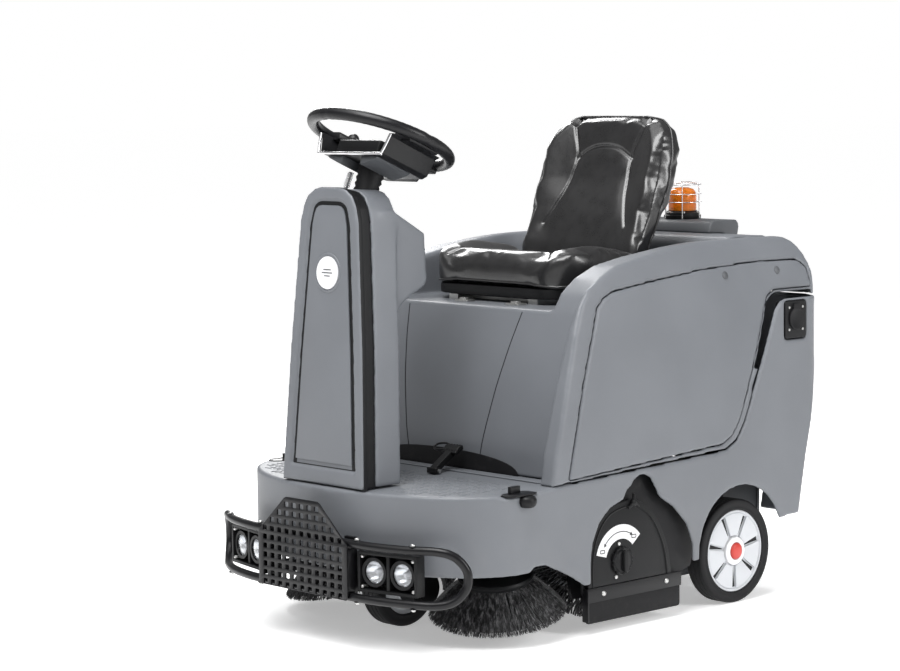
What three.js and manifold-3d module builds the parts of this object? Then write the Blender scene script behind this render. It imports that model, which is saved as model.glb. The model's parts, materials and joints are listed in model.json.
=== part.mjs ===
// Ride-on sweeper with three wheels, two side brushes, a main brush roller, a rear debris hopper,
// a tilting hood that carries the seat, and a steering column. Units are millimetres, +Z is up,
// the machine drives towards -Y and its left side is +X. The origin is on the floor, below the
// centre of the machine's bounding box.
import * as THREE from 'three';
import { mergeVertices } from 'three/addons/utils/BufferGeometryUtils.js';
import Module from 'manifold-3d';

const wasm = await Module();
wasm.setup();

// ---------------------------------------------------------------- driving dimensions
const GAP = 0.4;                 // clearance between touching pieces
const SHELL = 7;                 // wall of the moulded body shells

const HALF_WIDTH = 415;          // body, centre line to side
const NOSE_Y = -617;             // foremost point of the nose
const NOSE_START = -387;         // where the straight sides turn into the nose
const REAR_Y = 660;              // rearmost point of the hood
const NOSE_STEPS = 22;            // faces around the nose
const REAR_CORNER = 70;          // plan radius of the two rear corners
const DECK_Z = 350;              // top of the foot deck

const REAR_WHEEL = { y: 352, radius: 125, width: 50, face: 391 };
const FRONT_WHEEL = { y: -378, radius: 95, width: 56 };
const ARCH = { y: 347, z: 137, radius: 150 };

const HOOD_HINGE = { y: 664, z: 718, radius: 4 };
const SEAT_DECK_Z = 728;         // flat top of the hood between its two rails
const RAIL_INNER = 284;          // inner face of the hood rails, from the centre line
const WING_INNER = 372;          // where the forward wings of the hood begin

const COLUMN = { y: -607, z: 354.4, lean: 3.1, height: 664, depth: 119, bottom: 139, top: 93 };
const STEERING = { y: -415, z: 1119, lean: 23.2, radius: 160, tube: 14.5 };

const MAIN_BRUSH = { y: -25, z: 130, radius: 128, length: 660 };
const ARM_PIVOT_Y = -216;        // hinge of the two side brush arms, 270 above the floor
const SIDE_BRUSH = { x: 264, y: -322, z: 136, tip: 158, plate: 80, tilt: 11.5, heading: -56, drop: 84 };

const BUMPER = { low: 125, high: 243, radius: 10 };
const GUARD = { y: -664, thick: 4, low: 118, shoulder: 240, top: 327, half: 154, topHalf: 56, pitch: 26 };

// ---------------------------------------------------------------- finishes
const finish = (color, roughness, metalness = 0) =>
  new THREE.MeshStandardMaterial({ color, roughness, metalness });
const GREY = finish(0x8d939c, 0.55);
const DARK_GREY = finish(0x4c5056, 0.6);
const BLACK = finish(0x17181a, 0.45);
const STEEL = finish(0x8f9499, 0.35, 0.9);
const BLACK_STEEL = finish(0x1b1c1e, 0.35, 0.5);
const RUBBER = finish(0x141414, 0.8);
const SILVER = finish(0xc2c5c9, 0.35, 0.6);
const VINYL = finish(0x1a191b, 0.35);
const BRISTLE = finish(0x222326, 0.85);
const CLEAR = finish(0xdfe4e8, 0.1);
const AMBER = finish(0xe8741c, 0.2);
const BATTERY = finish(0x2c3038, 0.5);
const FILTER = finish(0xd8d2c0, 0.9);

// ---------------------------------------------------------------- solids
function solidOf(geometry) {
  const bare = geometry.clone();
  bare.deleteAttribute('normal');
  bare.deleteAttribute('uv');
  const merged = mergeVertices(bare, 1e-3);
  const corners = merged.index.array;
  const faces = [];
  for (let i = 0; i < corners.length; i += 3) {
    const [a, b, c] = [corners[i], corners[i + 1], corners[i + 2]];
    if (a !== b && b !== c && c !== a) faces.push(a, b, c);
  }
  return new wasm.Manifold(new wasm.Mesh({
    numProp: 3,
    vertProperties: new Float32Array(merged.attributes.position.array),
    triVerts: new Uint32Array(faces),
  }));
}

function geometryOf(solid) {
  const mesh = solid.getMesh();
  const geometry = new THREE.BufferGeometry();
  geometry.setAttribute('position', new THREE.BufferAttribute(mesh.vertProperties, 3));
  geometry.setIndex(new THREE.BufferAttribute(mesh.triVerts, 1));
  return geometry;
}

const join = (first, ...others) => others.reduce((sum, solid) => sum.add(solid), first);
const cut = (first, ...others) => others.reduce((rest, solid) => rest.subtract(solid), first);

function box(x0, x1, y0, y1, z0, z1) {
  const geometry = new THREE.BoxGeometry(x1 - x0, y1 - y0, z1 - z0);
  return solidOf(geometry.translate((x0 + x1) / 2, (y0 + y1) / 2, (z0 + z1) / 2));
}

const shapeOf = (points) => new THREE.Shape(points.map(([u, v]) => new THREE.Vector2(u, v)));

// An outline of (y, z) points swept from x0 to x1.
function sweepX(points, x0, x1) {
  const geometry = new THREE.ExtrudeGeometry(shapeOf(points), { depth: x1 - x0, bevelEnabled: false });
  const turn = new THREE.Matrix4().makeBasis(
    new THREE.Vector3(0, 1, 0), new THREE.Vector3(0, 0, 1), new THREE.Vector3(1, 0, 0));
  return solidOf(geometry.applyMatrix4(turn).translate(x0, 0, 0));
}

// An outline of (x, z) points swept from y0 to y1.
function sweepY(points, y0, y1) {
  const geometry = new THREE.ExtrudeGeometry(shapeOf(points), { depth: y1 - y0, bevelEnabled: false });
  return solidOf(geometry.rotateX(Math.PI / 2).translate(0, y1, 0));
}

// An outline of (x, y) points swept from z0 to z1.
function sweepZ(points, z0, z1) {
  const geometry = new THREE.ExtrudeGeometry(shapeOf(points), { depth: z1 - z0, bevelEnabled: false });
  return solidOf(geometry.translate(0, 0, z0));
}

// A round bar between two points; the far end may have its own radius.
function rod(from, to, radius, sides = 16, endRadius = radius) {
  const start = new THREE.Vector3(...from);
  const end = new THREE.Vector3(...to);
  const along = end.clone().sub(start);
  const geometry = new THREE.CylinderGeometry(endRadius, radius, along.length(), sides);
  const turn = new THREE.Quaternion().setFromUnitVectors(
    new THREE.Vector3(0, 1, 0), along.clone().normalize());
  geometry.applyQuaternion(turn);
  const middle = start.add(end).multiplyScalar(0.5);
  return solidOf(geometry.translate(middle.x, middle.y, middle.z));
}

// A tube of round section along a smooth route.
function pipe(route, radius, steps, sides = 8, closed = false) {
  const ring = [];
  for (let i = 0; i < sides; i++) {
    const turn = (i / sides) * 2 * Math.PI;
    ring.push([radius * Math.cos(turn), radius * Math.sin(turn)]);
  }
  const path = new THREE.CatmullRomCurve3(route.map((p) => new THREE.Vector3(...p)), closed, 'centripetal');
  return solidOf(new THREE.ExtrudeGeometry(shapeOf(ring), { steps, extrudePath: path, bevelEnabled: false }));
}

const areaOf = (points) => points.reduce((sum, [u, v], i) => {
  const [u2, v2] = points[(i + 1) % points.length];
  return sum + (u * v2 - u2 * v) / 2;
}, 0);

// A profile of (radius, height) points turned about a line through a point.
function turned(profile, centre, axis, segments = 32) {
  const points = profile.map(([r, h]) => new THREE.Vector2(r, h));
  if (areaOf(profile) < 0) points.reverse();
  const geometry = new THREE.LatheGeometry(points, segments);
  const turn = new THREE.Quaternion().setFromUnitVectors(
    new THREE.Vector3(0, 1, 0), new THREE.Vector3(...axis).normalize());
  geometry.applyQuaternion(turn).translate(...centre);
  return solidOf(geometry);
}

// Moves each edge of a closed outline inwards by a distance.
function inset(points, distance) {
  const side = areaOf(points) > 0 ? distance : -distance;
  return points.map((point, i) => {
    const before = points[(i + points.length - 1) % points.length];
    const after = points[(i + 1) % points.length];
    const a = new THREE.Vector2(point[0] - before[0], point[1] - before[1]).normalize();
    const b = new THREE.Vector2(after[0] - point[0], after[1] - point[1]).normalize();
    const corner = new THREE.Vector2(-a.y - b.y, a.x + b.x);
    const reach = side / (corner.length() * corner.length() / 2);
    return [point[0] + corner.x * reach, point[1] + corner.y * reach];
  });
}

// The same solid on the other side of the centre plane.
function mirrored(solid) {
  const geometry = geometryOf(solid);
  geometry.scale(-1, 1, 1);
  const corners = geometry.index.array;
  for (let i = 0; i < corners.length; i += 3) [corners[i], corners[i + 1]] = [corners[i + 1], corners[i]];
  return solidOf(geometry);
}
const onSide = (solid, side) => (side > 0 ? solid : mirrored(solid));
const moved = (solid, matrix) => solidOf(geometryOf(solid).applyMatrix4(matrix));

const mirrorX = (points) => points.map(([u, v]) => [-u, v]).reverse();

function arc(u, v, radius, from, to, steps) {
  const points = [];
  for (let i = 0; i <= steps; i++) {
    const turn = THREE.MathUtils.degToRad(from + ((to - from) * i) / steps);
    points.push([u + radius * Math.cos(turn), v + radius * Math.sin(turn)]);
  }
  return points;
}

// ---------------------------------------------------------------- the model
const model = new THREE.Group();

function add(name, solid, material) {
  const mesh = new THREE.Mesh(geometryOf(solid), material);
  mesh.name = name;
  model.add(mesh);
}

// Each side in turn: its name, and +1 for the left side or -1 for the right.
const SIDES = [['left', 1], ['right', -1]];
const span = (side, a, b) => (side > 0 ? [a, b] : [-b, -a]);

// ---------------------------------------------------------------- body shells
// Plan outline of the body: half an ellipse for the nose, straight sides, rounded rear corners.
function plan(shrink, rear = REAR_Y) {
  const half = HALF_WIDTH - shrink;
  const nose = NOSE_START - NOSE_Y - shrink;
  const points = [];
  for (let i = 0; i <= NOSE_STEPS; i++) {
    const turn = (Math.PI * i) / NOSE_STEPS;
    points.push([half * Math.cos(turn), NOSE_START - nose * Math.sin(turn)]);
  }
  const corner = REAR_CORNER - shrink;
  const back = rear - shrink;
  points.push(...arc(-half + corner, back - corner, corner, 180, 90, 5));
  points.push(...arc(half - corner, back - corner, corner, 90, 0, 5));
  return points;
}

// Rear face of body and hood, from the bottom up, as (y, z).
const REAR_FACE = [[560, 195], [587, 335], [622, 468], [648, 613], [REAR_Y, 722]];
// Seam between the lower body and the hood, from the front back, as (y, z).
const SILL = [[-300, 352], [290, 377], [330, 396], [358, 435], [382, 487], [432, 598], [470, 694],
  [486, 714], [510, 722]];

const lowerOutline = [
  [NOSE_Y, 172], [-360, 172], [-345, 183], [-310, 181], [-240, 150], [-186, 118], [190, 125],
  [478, 190], ...REAR_FACE, ...SILL.slice().reverse(), [-310, DECK_Z], [NOSE_Y, DECK_Z],
];

function lowerBody() {
  const outer = sweepX(lowerOutline, -HALF_WIDTH, HALF_WIDTH).intersect(sweepZ(plan(0), 100, 760));
  const innerSide = [
    [NOSE_Y, 90], [553, 90], [553, 195], [580, 335], [615, 468], [641, 613], [653, 800], [-222, 800],
    [-222, DECK_Z - SHELL], [NOSE_Y, DECK_Z - SHELL],
  ];
  const inner = sweepX(innerSide, -HALF_WIDTH, HALF_WIDTH).intersect(sweepZ(plan(SHELL), 80, 820));
  const archCut = sweepX(arc(ARCH.y, ARCH.z, ARCH.radius, 0, 360, 30).slice(1), -450, 450);
  const doorway = [
    [-168, 90], [-168, 170], [-160, 215], [-140, 255], [-105, 285], [-60, 300], [-48, 322],
    ...arc(2, 308, 42, 155, 20, 7), [62, 290], [110, 262], [150, 222], [172, 175], [178, 90],
  ];
  const doorCut = sweepX(doorway, -450, 450);
  const hopperCut = box(-293, 293, 500, 700, 80, 297);
  const columnHole = rod([0, -560, 330], [0, -560, 360], 36, 24);
  const tiePocket = (side) => {
    const [x0, x1] = span(side, 372, 440);
    return box(x0, x1, -437, -330, DECK_Z - 5, DECK_Z + 30);
  };
  const inlet = box(380, 430, 504, 586, 622, 716);
  const hinges = SIDES.map(([, side]) => join(
    rod([side * 150, HOOD_HINGE.y, HOOD_HINGE.z], [side * 190, HOOD_HINGE.y, HOOD_HINGE.z], HOOD_HINGE.radius, 10),
    box(...span(side, 150, 190), 650, HOOD_HINGE.y, 700, HOOD_HINGE.z)));
  return cut(join(outer, ...hinges), inner, archCut, doorCut, hopperCut, columnHole, tiePocket(1), tiePocket(-1), inlet);
}
add('lower_body', lowerBody(), GREY);

// Hood: a box under the seat, a rail each side, and two wings that reach further forward.
const boxFront = [[-231, 360], [-231, 420], [-223, 475], [-209, 555], [-185, 645], [-157, SEAT_DECK_Z]];
const hoodBase = [[REAR_Y, 724], ...SILL.slice().reverse().map(([y, z]) => [y, z + 2])];
const hoodRear = [[585, 865], [612, 852], [636, 822], [652, 780]];
const boxOutline = [...boxFront, [416, SEAT_DECK_Z], [438, 846], [456, 866], [480, 868], ...hoodRear, ...hoodBase];
const shoulderOutline = [...boxFront, [-132, 768], [-92, 800], [-30, 825], [60, 841], [180, 857], [300, 867],
  [480, 868], ...hoodRear, ...hoodBase];
const wingOutline = [[-286, 355], [-276, 420], [-261, 479], [-233, 576], [-196, 684], [-169, 742], [-135, 782],
  [-75, 809], [-10, 827], [80, 841], [180, 857], [300, 867], [480, 868], ...hoodRear, ...hoodBase];
const hoodSection = [
  [415, 340], [414, 480], [407, 576], [396, 684], [384, 755], [372, 800], [356, 840], [340, 862], [322, 869],
  [304, 862], [292, 840], [RAIL_INNER, SEAT_DECK_Z], [RAIL_INNER, 340],
];

function hoodSolid(shrink) {
  const reach = 430;
  const middle = sweepX(inset(boxOutline, shrink), -RAIL_INNER - 2 - shrink, RAIL_INNER + 2 + shrink);
  const halfOf = (side) => {
    const section = inset(hoodSection, shrink);
    const sides = side > 0 ? section : mirrorX(section);
    const column = sweepY(sides, -300, 700);
    const [s0, s1] = span(side, 100, WING_INNER + (shrink ? shrink : 0));
    const [w0, w1] = span(side, WING_INNER + shrink, reach);
    const shoulder = sweepX(inset(shoulderOutline, shrink), s0, s1);
    const wing = sweepX(inset(wingOutline, shrink), w0, w1);
    return join(shoulder, wing).intersect(column);
  };
  return join(middle, halfOf(1), halfOf(-1)).intersect(sweepZ(plan(shrink), 300, 900));
}
// The hollow runs out of the bottom, along the seam.
const hollowFoot = (() => {
  const seam = SILL.map(([y, z]) => [y - 8, z + 12]);
  const foot = [...seam.slice(1), [653, 735], [653, 300], [-222, 300], [-222, 366]];
  return sweepX(foot, -HALF_WIDTH + SHELL, HALF_WIDTH - SHELL).intersect(sweepZ(plan(SHELL), 290, 740));
})();
const hoodShell = cut(hoodSolid(0), hoodSolid(SHELL), hollowFoot);

// Side panels let into the wings.
const panelOutline = [[-238, 362], [-211, 474], [-182, 572], [-145, 669], [-115, 739], [-90, 759], [-57, 771],
  [44, 783], [252, 803], [468, 812], [604, 808], [632, 790], [640, 742], [500, 742], [472, 730], [452, 694],
  [414, 602], [362, 490], [338, 440], [314, 410], [280, 392]];
// The opening leaves the inner wall of the wing whole.
const panelCut = (shrink) => cut(sweepX(inset(panelOutline, shrink), 345, 430), box(340, 386, -300, -205, 300, 740));
add('hood', cut(hoodShell, panelCut(0), mirrored(panelCut(0))), GREY);
for (const [name, side] of SIDES) {
  add(`side_panel_${name}`, hoodShell.intersect(onSide(panelCut(1.5), side)), GREY);
}

// ---------------------------------------------------------------- steering column
// The column is drawn upright with its front face on y = 0, then leaned back.
const leaned = (solid) => {
  const tilt = new THREE.Matrix4().makeRotationX(-THREE.MathUtils.degToRad(COLUMN.lean));
  tilt.setPosition(0, COLUMN.y, COLUMN.z);
  return moved(solid, tilt);
};
const [BAND_FRONT, BAND_REAR] = [15, 44];
const belowDeck = box(-200, 200, -700, -400, 250, COLUMN.z);
const archHalf = [[COLUMN.bottom, -20], [121, 300], [COLUMN.top + 4, 588], [88, 622], [74, 646], [52, 660], [30, 664]];
const arch = [...archHalf, ...mirrorX(archHalf)];
const openFoot = (points) => points.map(([x, z]) => [x, z < 0 ? -60 : z]);
const frontCover = cut(
  sweepY(arch, 0, BAND_FRONT), sweepY(openFoot(inset(arch, 25)).map(([x, z]) => [x, Math.max(z, 34)]), -1, 7),
  sweepY(openFoot(inset(arch, 5)), 11, BAND_FRONT + 1));
add('column_front_cover', cut(leaned(frontCover), belowDeck), GREY);
const band = cut(sweepY(inset(arch, 5), BAND_FRONT + GAP, BAND_REAR), sweepY(openFoot(inset(arch, 11)), 10, 70));
add('column_band', cut(leaned(band), belowDeck), BLACK);

const dashSide = [[-500, 962], [-466, 966], [-368, 909], [-362, 801], [-372, 788], [-408, 772], [-440, 752],
  [-462, 722], [-500, 700]];
const dashWidth = 92;
const rearCase = join(
  leaned(sweepY(inset(arch, 3), BAND_REAR + GAP, COLUMN.depth)),
  sweepX(dashSide, -dashWidth, dashWidth));
const rearHollow = join(
  leaned(sweepY(openFoot(inset(arch, 9)), 30, COLUMN.depth - 6)),
  sweepX(inset(dashSide, 6), -dashWidth + 6, dashWidth - 6));
const shaftDirection = new THREE.Vector3(0, 0, 1).applyAxisAngle(
  new THREE.Vector3(1, 0, 0), -THREE.MathUtils.degToRad(STEERING.lean));
const onShaft = (distance) => [
  0, STEERING.y + shaftDirection.y * distance, STEERING.z + shaftDirection.z * distance];
const shaftHole = rod(onShaft(-190), onShaft(-60), 19, 24);
add('column_rear_cover', cut(rearCase, rearHollow, shaftHole, belowDeck), GREY);

// Steel post inside the covers, with the upper bearing of the steering shaft at its head.
const postTop = onShaft(-225);
const bearingBlock = cut(rod(onShaft(-245), onShaft(-205), 22, 20), rod(onShaft(-250), onShaft(-200), 12.5, 20));
add('column_post', join(
  rod([0, -545, 338.4], [0, -545, 840], 20, 16),
  cut(box(-18, 18, -560, postTop[1] - 14, 835, 905), rod(onShaft(-290), onShaft(-180), 12.5, 20)),
  bearingBlock), BLACK_STEEL);

// ---------------------------------------------------------------- steering
const steered = (solid) => {
  const tilt = new THREE.Matrix4().makeRotationX(-THREE.MathUtils.degToRad(STEERING.lean));
  tilt.setPosition(0, STEERING.y, STEERING.z);
  return moved(solid, tilt);
};
const circle = (u, v, radius, steps) => arc(u, v, radius, 0, 360 - 360 / steps, steps - 1);
const rimProfile = circle(STEERING.radius, 0, STEERING.tube, 7);
const rim = turned([...rimProfile, rimProfile[0]], [0, 0, 0], [0, 0, 1], 28);
const spoke = (angle, width) => {
  const bar = sweepY([[-width, -8], [width, -8], [width * 0.8, -1], [-width * 0.8, -1]], 30, STEERING.radius - 4);
  return moved(bar, new THREE.Matrix4().makeRotationZ(THREE.MathUtils.degToRad(angle)));
};
const boss = turned([[0, -26], [34, -26], [40, -16], [40, -4], [36, 0], [0, 0]], [0, 0, 0], [0, 0, 1], 24);
const wheelBore = rod([0, 0, -40], [0, 0, -12], 12.4, 16);
add('steering_wheel', steered(cut(join(rim, boss, spoke(0, 30), spoke(120, 17), spoke(240, 17)), wheelBore)), BLACK);
const controlPod = join(
  sweepX([[12, 0.4], [112, 0.4], [116, 10], [104, 20], [24, 26], [12, 22]], -33, 33),
  turned([[0, 0.4], [34, 0.4], [34, 14], [24, 20], [0, 20]], [0, 0, 0], [0, 0, 1], 20));
add('steering_hub', steered(controlPod), BLACK);
add('steering_shaft', join(rod(onShaft(-262), onShaft(-12.5), 12, 16), rod(onShaft(-92), onShaft(-60), 17, 16)), STEEL);

// Key switch on the sloping top of the dash box.
const dashNormal = new THREE.Vector3(0, 57, 98).normalize();
const keyFoot = new THREE.Vector3(-34, -402, 928.8);
const fromKey = (height) => keyFoot.clone().addScaledVector(dashNormal, height).toArray();
add('key_switch', join(rod(fromKey(1.2), fromKey(9), 12, 16), rod(fromKey(8), fromKey(26), 9, 12)), BLACK);

// ---------------------------------------------------------------- chassis
function chassis() {
  const pieces = [];
  for (const [, side] of SIDES) {
    const [x0, x1] = span(side, 240, 280);
    pieces.push(box(x0, x1, -528, 560, 300.4, 338));
    const [e0, e1] = span(side, 244, 252);
    const ear = cut(box(e0, e1, -228, -176, 256, 302), rod([e0 - 2, -190, 270], [e1 + 2, -190, 270], 8.5, 16));
    pieces.push(ear);
    pieces.push(rod([side * 248, ARM_PIVOT_Y, 270], [side * 268, ARM_PIVOT_Y, 270], 6, 12));
    const [b0, b1] = span(side, 116, 148);
    pieces.push(box(b0, b1, -542, -520, 140, 302), box(b0, b1, -641, -520, 140, 165));
    pieces.push(box(b0, b1, -641, -632, 112, 256));
  }
  pieces.push(box(-150, 150, -574, -516, 300.4, 338), box(-281, 281, -534, -510, 300.4, 338));
  for (const [y0, y1] of [[-413, -353], [-204, -174], [190, 220], [533, 560]]) {
    pieces.push(box(-245, 245, y0, y1, 300.4, 338));
  }
  const steeringHead = rod([0, FRONT_WHEEL.y, 290], [0, FRONT_WHEEL.y, 345], 26.4, 20);
  return cut(join(...pieces), steeringHead);
}
add('chassis_frame', chassis(), BLACK_STEEL);
add('fork_bearing', turned([[15.5, 300.4], [26, 300.4], [26, 337.6], [15.5, 337.6], [15.5, 300.4]],
  [0, FRONT_WHEEL.y, 0], [0, 0, 1], 24), STEEL);

// Front wheel: fork, hub motor, wheel and tyre.
const frontAxle = (x0, x1, radius, sides = 20) =>
  rod([x0, FRONT_WHEEL.y, FRONT_WHEEL.radius], [x1, FRONT_WHEEL.y, FRONT_WHEEL.radius], radius, sides);
const forkY = [FRONT_WHEEL.y - 22, FRONT_WHEEL.y + 22];
add('front_fork', join(
  box(36, 44, ...forkY, 78, 226), box(-44, -36, ...forkY, 78, 226), box(-44, 44, ...forkY, 214, 227),
  rod([0, FRONT_WHEEL.y, 226], [0, FRONT_WHEEL.y, 338], 15, 20),
  rod([0, FRONT_WHEEL.y, 226], [0, FRONT_WHEEL.y, 296], 26, 16, 20),
  frontAxle(-48, 44, 12)), BLACK_STEEL);
add('drive_motor', join(frontAxle(44 + GAP, 92, 42, 24), frontAxle(91, 102, 30, 20)), BLACK);
const wheelRing = (outer, inner, half, shoulder) => [
  [inner, -half], [outer - shoulder, -half], [outer, -half + shoulder], [outer, half - shoulder],
  [outer - shoulder, half], [inner, half], [inner, -half]];
add('front_tyre', turned(wheelRing(FRONT_WHEEL.radius, 68, FRONT_WHEEL.width / 2, 9),
  [0, FRONT_WHEEL.y, FRONT_WHEEL.radius], [1, 0, 0], 30), RUBBER);
add('front_wheel_hub', turned([[12.4, -26], [67.6, -26], [67.6, 26], [12.4, 26], [12.4, -26]],
  [0, FRONT_WHEEL.y, FRONT_WHEEL.radius], [1, 0, 0], 24), SILVER);

// Rear wheels on stub axles, carried by a beam that bridges the hopper.
const axleY = REAR_WHEEL.y;
const stubAxles = SIDES.map(([, side]) => {
  const [x0, x1] = span(side, 304, 384);
  const [p0, p1] = span(side, 300, 316);
  return join(box(p0, p1, axleY - 40, axleY + 40, 96, 298), rod([x0, axleY, 125], [x1, axleY, 125], 12, 20));
});
add('rear_axle', join(box(-316, 316, axleY - 22, axleY + 22, 288, 300), ...stubAxles), BLACK_STEEL);
for (const [name, side] of SIDES) {
  const centre = [side * (REAR_WHEEL.face - REAR_WHEEL.width / 2), axleY, REAR_WHEEL.radius];
  const axis = [side, 0, 0];
  add(`rear_tyre_${name}`, turned(wheelRing(125, 100, 25, 8), centre, axis, 32), RUBBER);
  add(`rear_wheel_${name}`, turned([[12.4, -22], [99, -22], [99, 18], [88, 21], [40, 23], [28, 30], [0, 32],
    [0, 20], [12.4, 20], [12.4, -22]], centre, axis, 24), SILVER);
}

// ---------------------------------------------------------------- bumper, guard and lamps
const bumperPlan = [[-6, -652], [60, -652], [130, -652], [215, -646], [300, -624], [360, -592]];
const bumperRoute = [
  ...bumperPlan.map(([x, y]) => [x, y, BUMPER.high]),
  [391, -568, 233], [409, -551, 208], [413, -547, 184], [409, -551, 160], [391, -568, 135],
  ...bumperPlan.slice().reverse().map(([x, y]) => [x, y, BUMPER.low]),
];
const bumperHalf = pipe(bumperRoute, BUMPER.radius, 28, 7);
add('bumper_tube', join(bumperHalf, mirrored(bumperHalf)), BLACK_STEEL);

function guardPlate() {
  const { y, thick, low, shoulder, top, half, topHalf, pitch } = GUARD;
  const outline = [[-half, low], [half, low], [half, shoulder], [topHalf, top], [-topHalf, top], [-half, shoulder]];
  const flanges = SIDES.map(([, side]) => box(...span(side, half - 4, half), y - thick, y + 22, low + 18, shoulder - 8));
  const holes = [];
  const rows = 10;
  const rowPitch = 20.4;
  for (let row = 0; row < rows; row++) {
    const z = top - 17 - row * rowPitch;
    const reach = row < 3 ? 2 + row : 5;
    for (let column = -reach; column <= reach; column++) {
      const x = column * pitch;
      holes.push(box(x - 7, x + 7, y - thick - 1, y + 1, z - 6, z + 6));
    }
  }
  return cut(join(sweepY(outline, y - thick, y), ...flanges), ...holes);
}
add('guard_plate', guardPlate(), BLACK_STEEL);

// Lamp unit, drawn with its front on y = 0 and turned to follow the bumper.
const lampTurn = (solid) => {
  const turn = new THREE.Matrix4().makeRotationZ(THREE.MathUtils.degToRad(12));
  turn.setPosition(243, -630, 184);
  return moved(solid, turn);
};
const lampCentres = [-38, 38];
const reflectors = lampCentres.map((x) => rod([x, 1 - 4, 0], [x, 30, 0], 31, 20));
const lampBox = cut(box(-80, 80, 0, 52, -45, 45), box(-72, 72, -1, 5, -36, 36), ...reflectors);
const lensPlate = join(box(-71, 71, 0.5, 4.6, -35, 35),
  ...lampCentres.map((x) => rod([x, 4, 0], [x, 14, 0], 27, 20, 16)));
const lampUnit = cut(lampTurn(lampBox), sweepZ(plan(-GAP), 100, 300));
for (const [name, side] of SIDES) {
  add(`lamp_housing_${name}`, onSide(lampUnit, side), BLACK);
  add(`lamp_lens_${name}`, onSide(lampTurn(lensPlate), side), CLEAR);
}

// ---------------------------------------------------------------- brush doors, skirts and knobs
const doorOutline = [[-166, 108], [-166, 168], [-157, 213], [-137, 251], [-103, 280], [-60, 292], [-16, 293],
  [20, 280], [52, 254], [80, 212], [100, 165], [110, 108]];
const linerOutline = [[-174, 96], [-174, 300], [-60, 330], [20, 352], [70, 330], [190, 240], [196, 130], [190, 112], [140, 96]];
for (const [name, side] of SIDES) {
  const knobCentre = [0, -60, 159];
  const plate = cut(sweepX(doorOutline, 398, 403), rod([390, -60, 159], [410, -60, 159], 7.4, 16));
  add(`brush_door_${name}`, onSide(plate, side), BLACK);
  const knob = join(
    turned([[0, 403.4], [29, 403.4], [29, 409], [25, 413], [0, 413]], knobCentre, [1, 0, 0], 24),
    box(412, 424, -66, -54, 135, 183),
    rod([391, -60, 159], [404, -60, 159], 7, 16));
  add(`door_knob_${name}`, onSide(knob, side), BLACK);
  const skirt = join(box(386, 408, -168, 144, 25, 107), sweepX(linerOutline, 384, 390));
  add(`side_skirt_${name}`, onSide(skirt, side), RUBBER);
}

// ---------------------------------------------------------------- side brushes
const brushHeading = THREE.MathUtils.degToRad(SIDE_BRUSH.heading);
const brushTilt = THREE.MathUtils.degToRad(SIDE_BRUSH.tilt);
const brushAxis = [
  Math.cos(brushHeading) * Math.sin(brushTilt), Math.sin(brushHeading) * Math.sin(brushTilt), Math.cos(brushTilt)];
const brushCentre = [SIDE_BRUSH.x, SIDE_BRUSH.y, SIDE_BRUSH.z];
const { tip, plate: plateRadius } = SIDE_BRUSH;
const sideBrush = turned([[0, 20], [56, 20], [plateRadius, 8], [tip, -SIDE_BRUSH.drop], [tip - 24, -SIDE_BRUSH.drop],
  [plateRadius - 10, -12], [0, -12]], brushCentre, brushAxis, 26);
const sideMotor = join(
  turned([[0, 20 + GAP], [16, 20 + GAP], [16, 30], [44, 30], [44, 60], [34, 64], [34, 110], [0, 110]],
    brushCentre, brushAxis, 18),
  cut(sweepX([[-340, 212], [-230, 262], [-206, 262], [-206, 278], [-236, 278], [-340, 232]], 258, 264),
    rod([256, ARM_PIVOT_Y, 270], [266, ARM_PIVOT_Y, 270], 6.4, 12)));
for (const [name, side] of SIDES) {
  add(`side_brush_${name}`, onSide(sideBrush, side), BRISTLE);
  add(`side_brush_motor_${name}`, onSide(sideMotor, side), BLACK);
  const lever = join(box(376, 424, -430, -336, 346, 350), box(416.5, 440, -392, -346, 318, 350),
    box(384, 392, -400, -368, 350, 366));
  add(`lift_lever_${name}`, onSide(lever, side), BLACK);
}

// ---------------------------------------------------------------- main brush
const { y: brushY, z: brushZ, radius: brushRadius, length: brushLength } = MAIN_BRUSH;
const half = brushLength / 2;
add('main_brush', join(
  rod([-half + 6, brushY, brushZ], [half - 6, brushY, brushZ], brushRadius, 32),
  rod([-half - 14, brushY, brushZ], [half + 14, brushY, brushZ], 12, 16)), BRISTLE);
const cowl = [...arc(brushY, brushZ, 140, 12, 168, 9), ...arc(brushY, brushZ, 134, 168, 12, 9)];
const endPlates = SIDES.map(([, side]) => {
  const [x0, x1] = span(side, half + 3, half + 9);
  const outline = arc(brushY, brushZ, 140, -24, 204, 13);
  return cut(sweepX(outline, x0, x1), rod([x0 - 1, brushY, brushZ], [x1 + 1, brushY, brushZ], 12.4, 16));
});
const pivotArms = SIDES.map(([, side]) => {
  const [x0, x1] = span(side, 222, 232);
  return sweepX([[-204, 258], [-176, 258], [-120, 225], [-100, 250], [-170, 282], [-204, 282]], x0, x1);
});
add('brush_carriage', join(
  sweepX(cowl, -half - 9, half + 9), ...endPlates, ...pivotArms,
  rod([-258, -190, 270], [258, -190, 270], 8, 16)), STEEL);
add('brush_motor', join(rod([-190, -212, 212], [-60, -212, 212], 33, 20), rod([-205, -212, 212], [-189, -212, 212], 22, 16)),
  BLACK);

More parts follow.
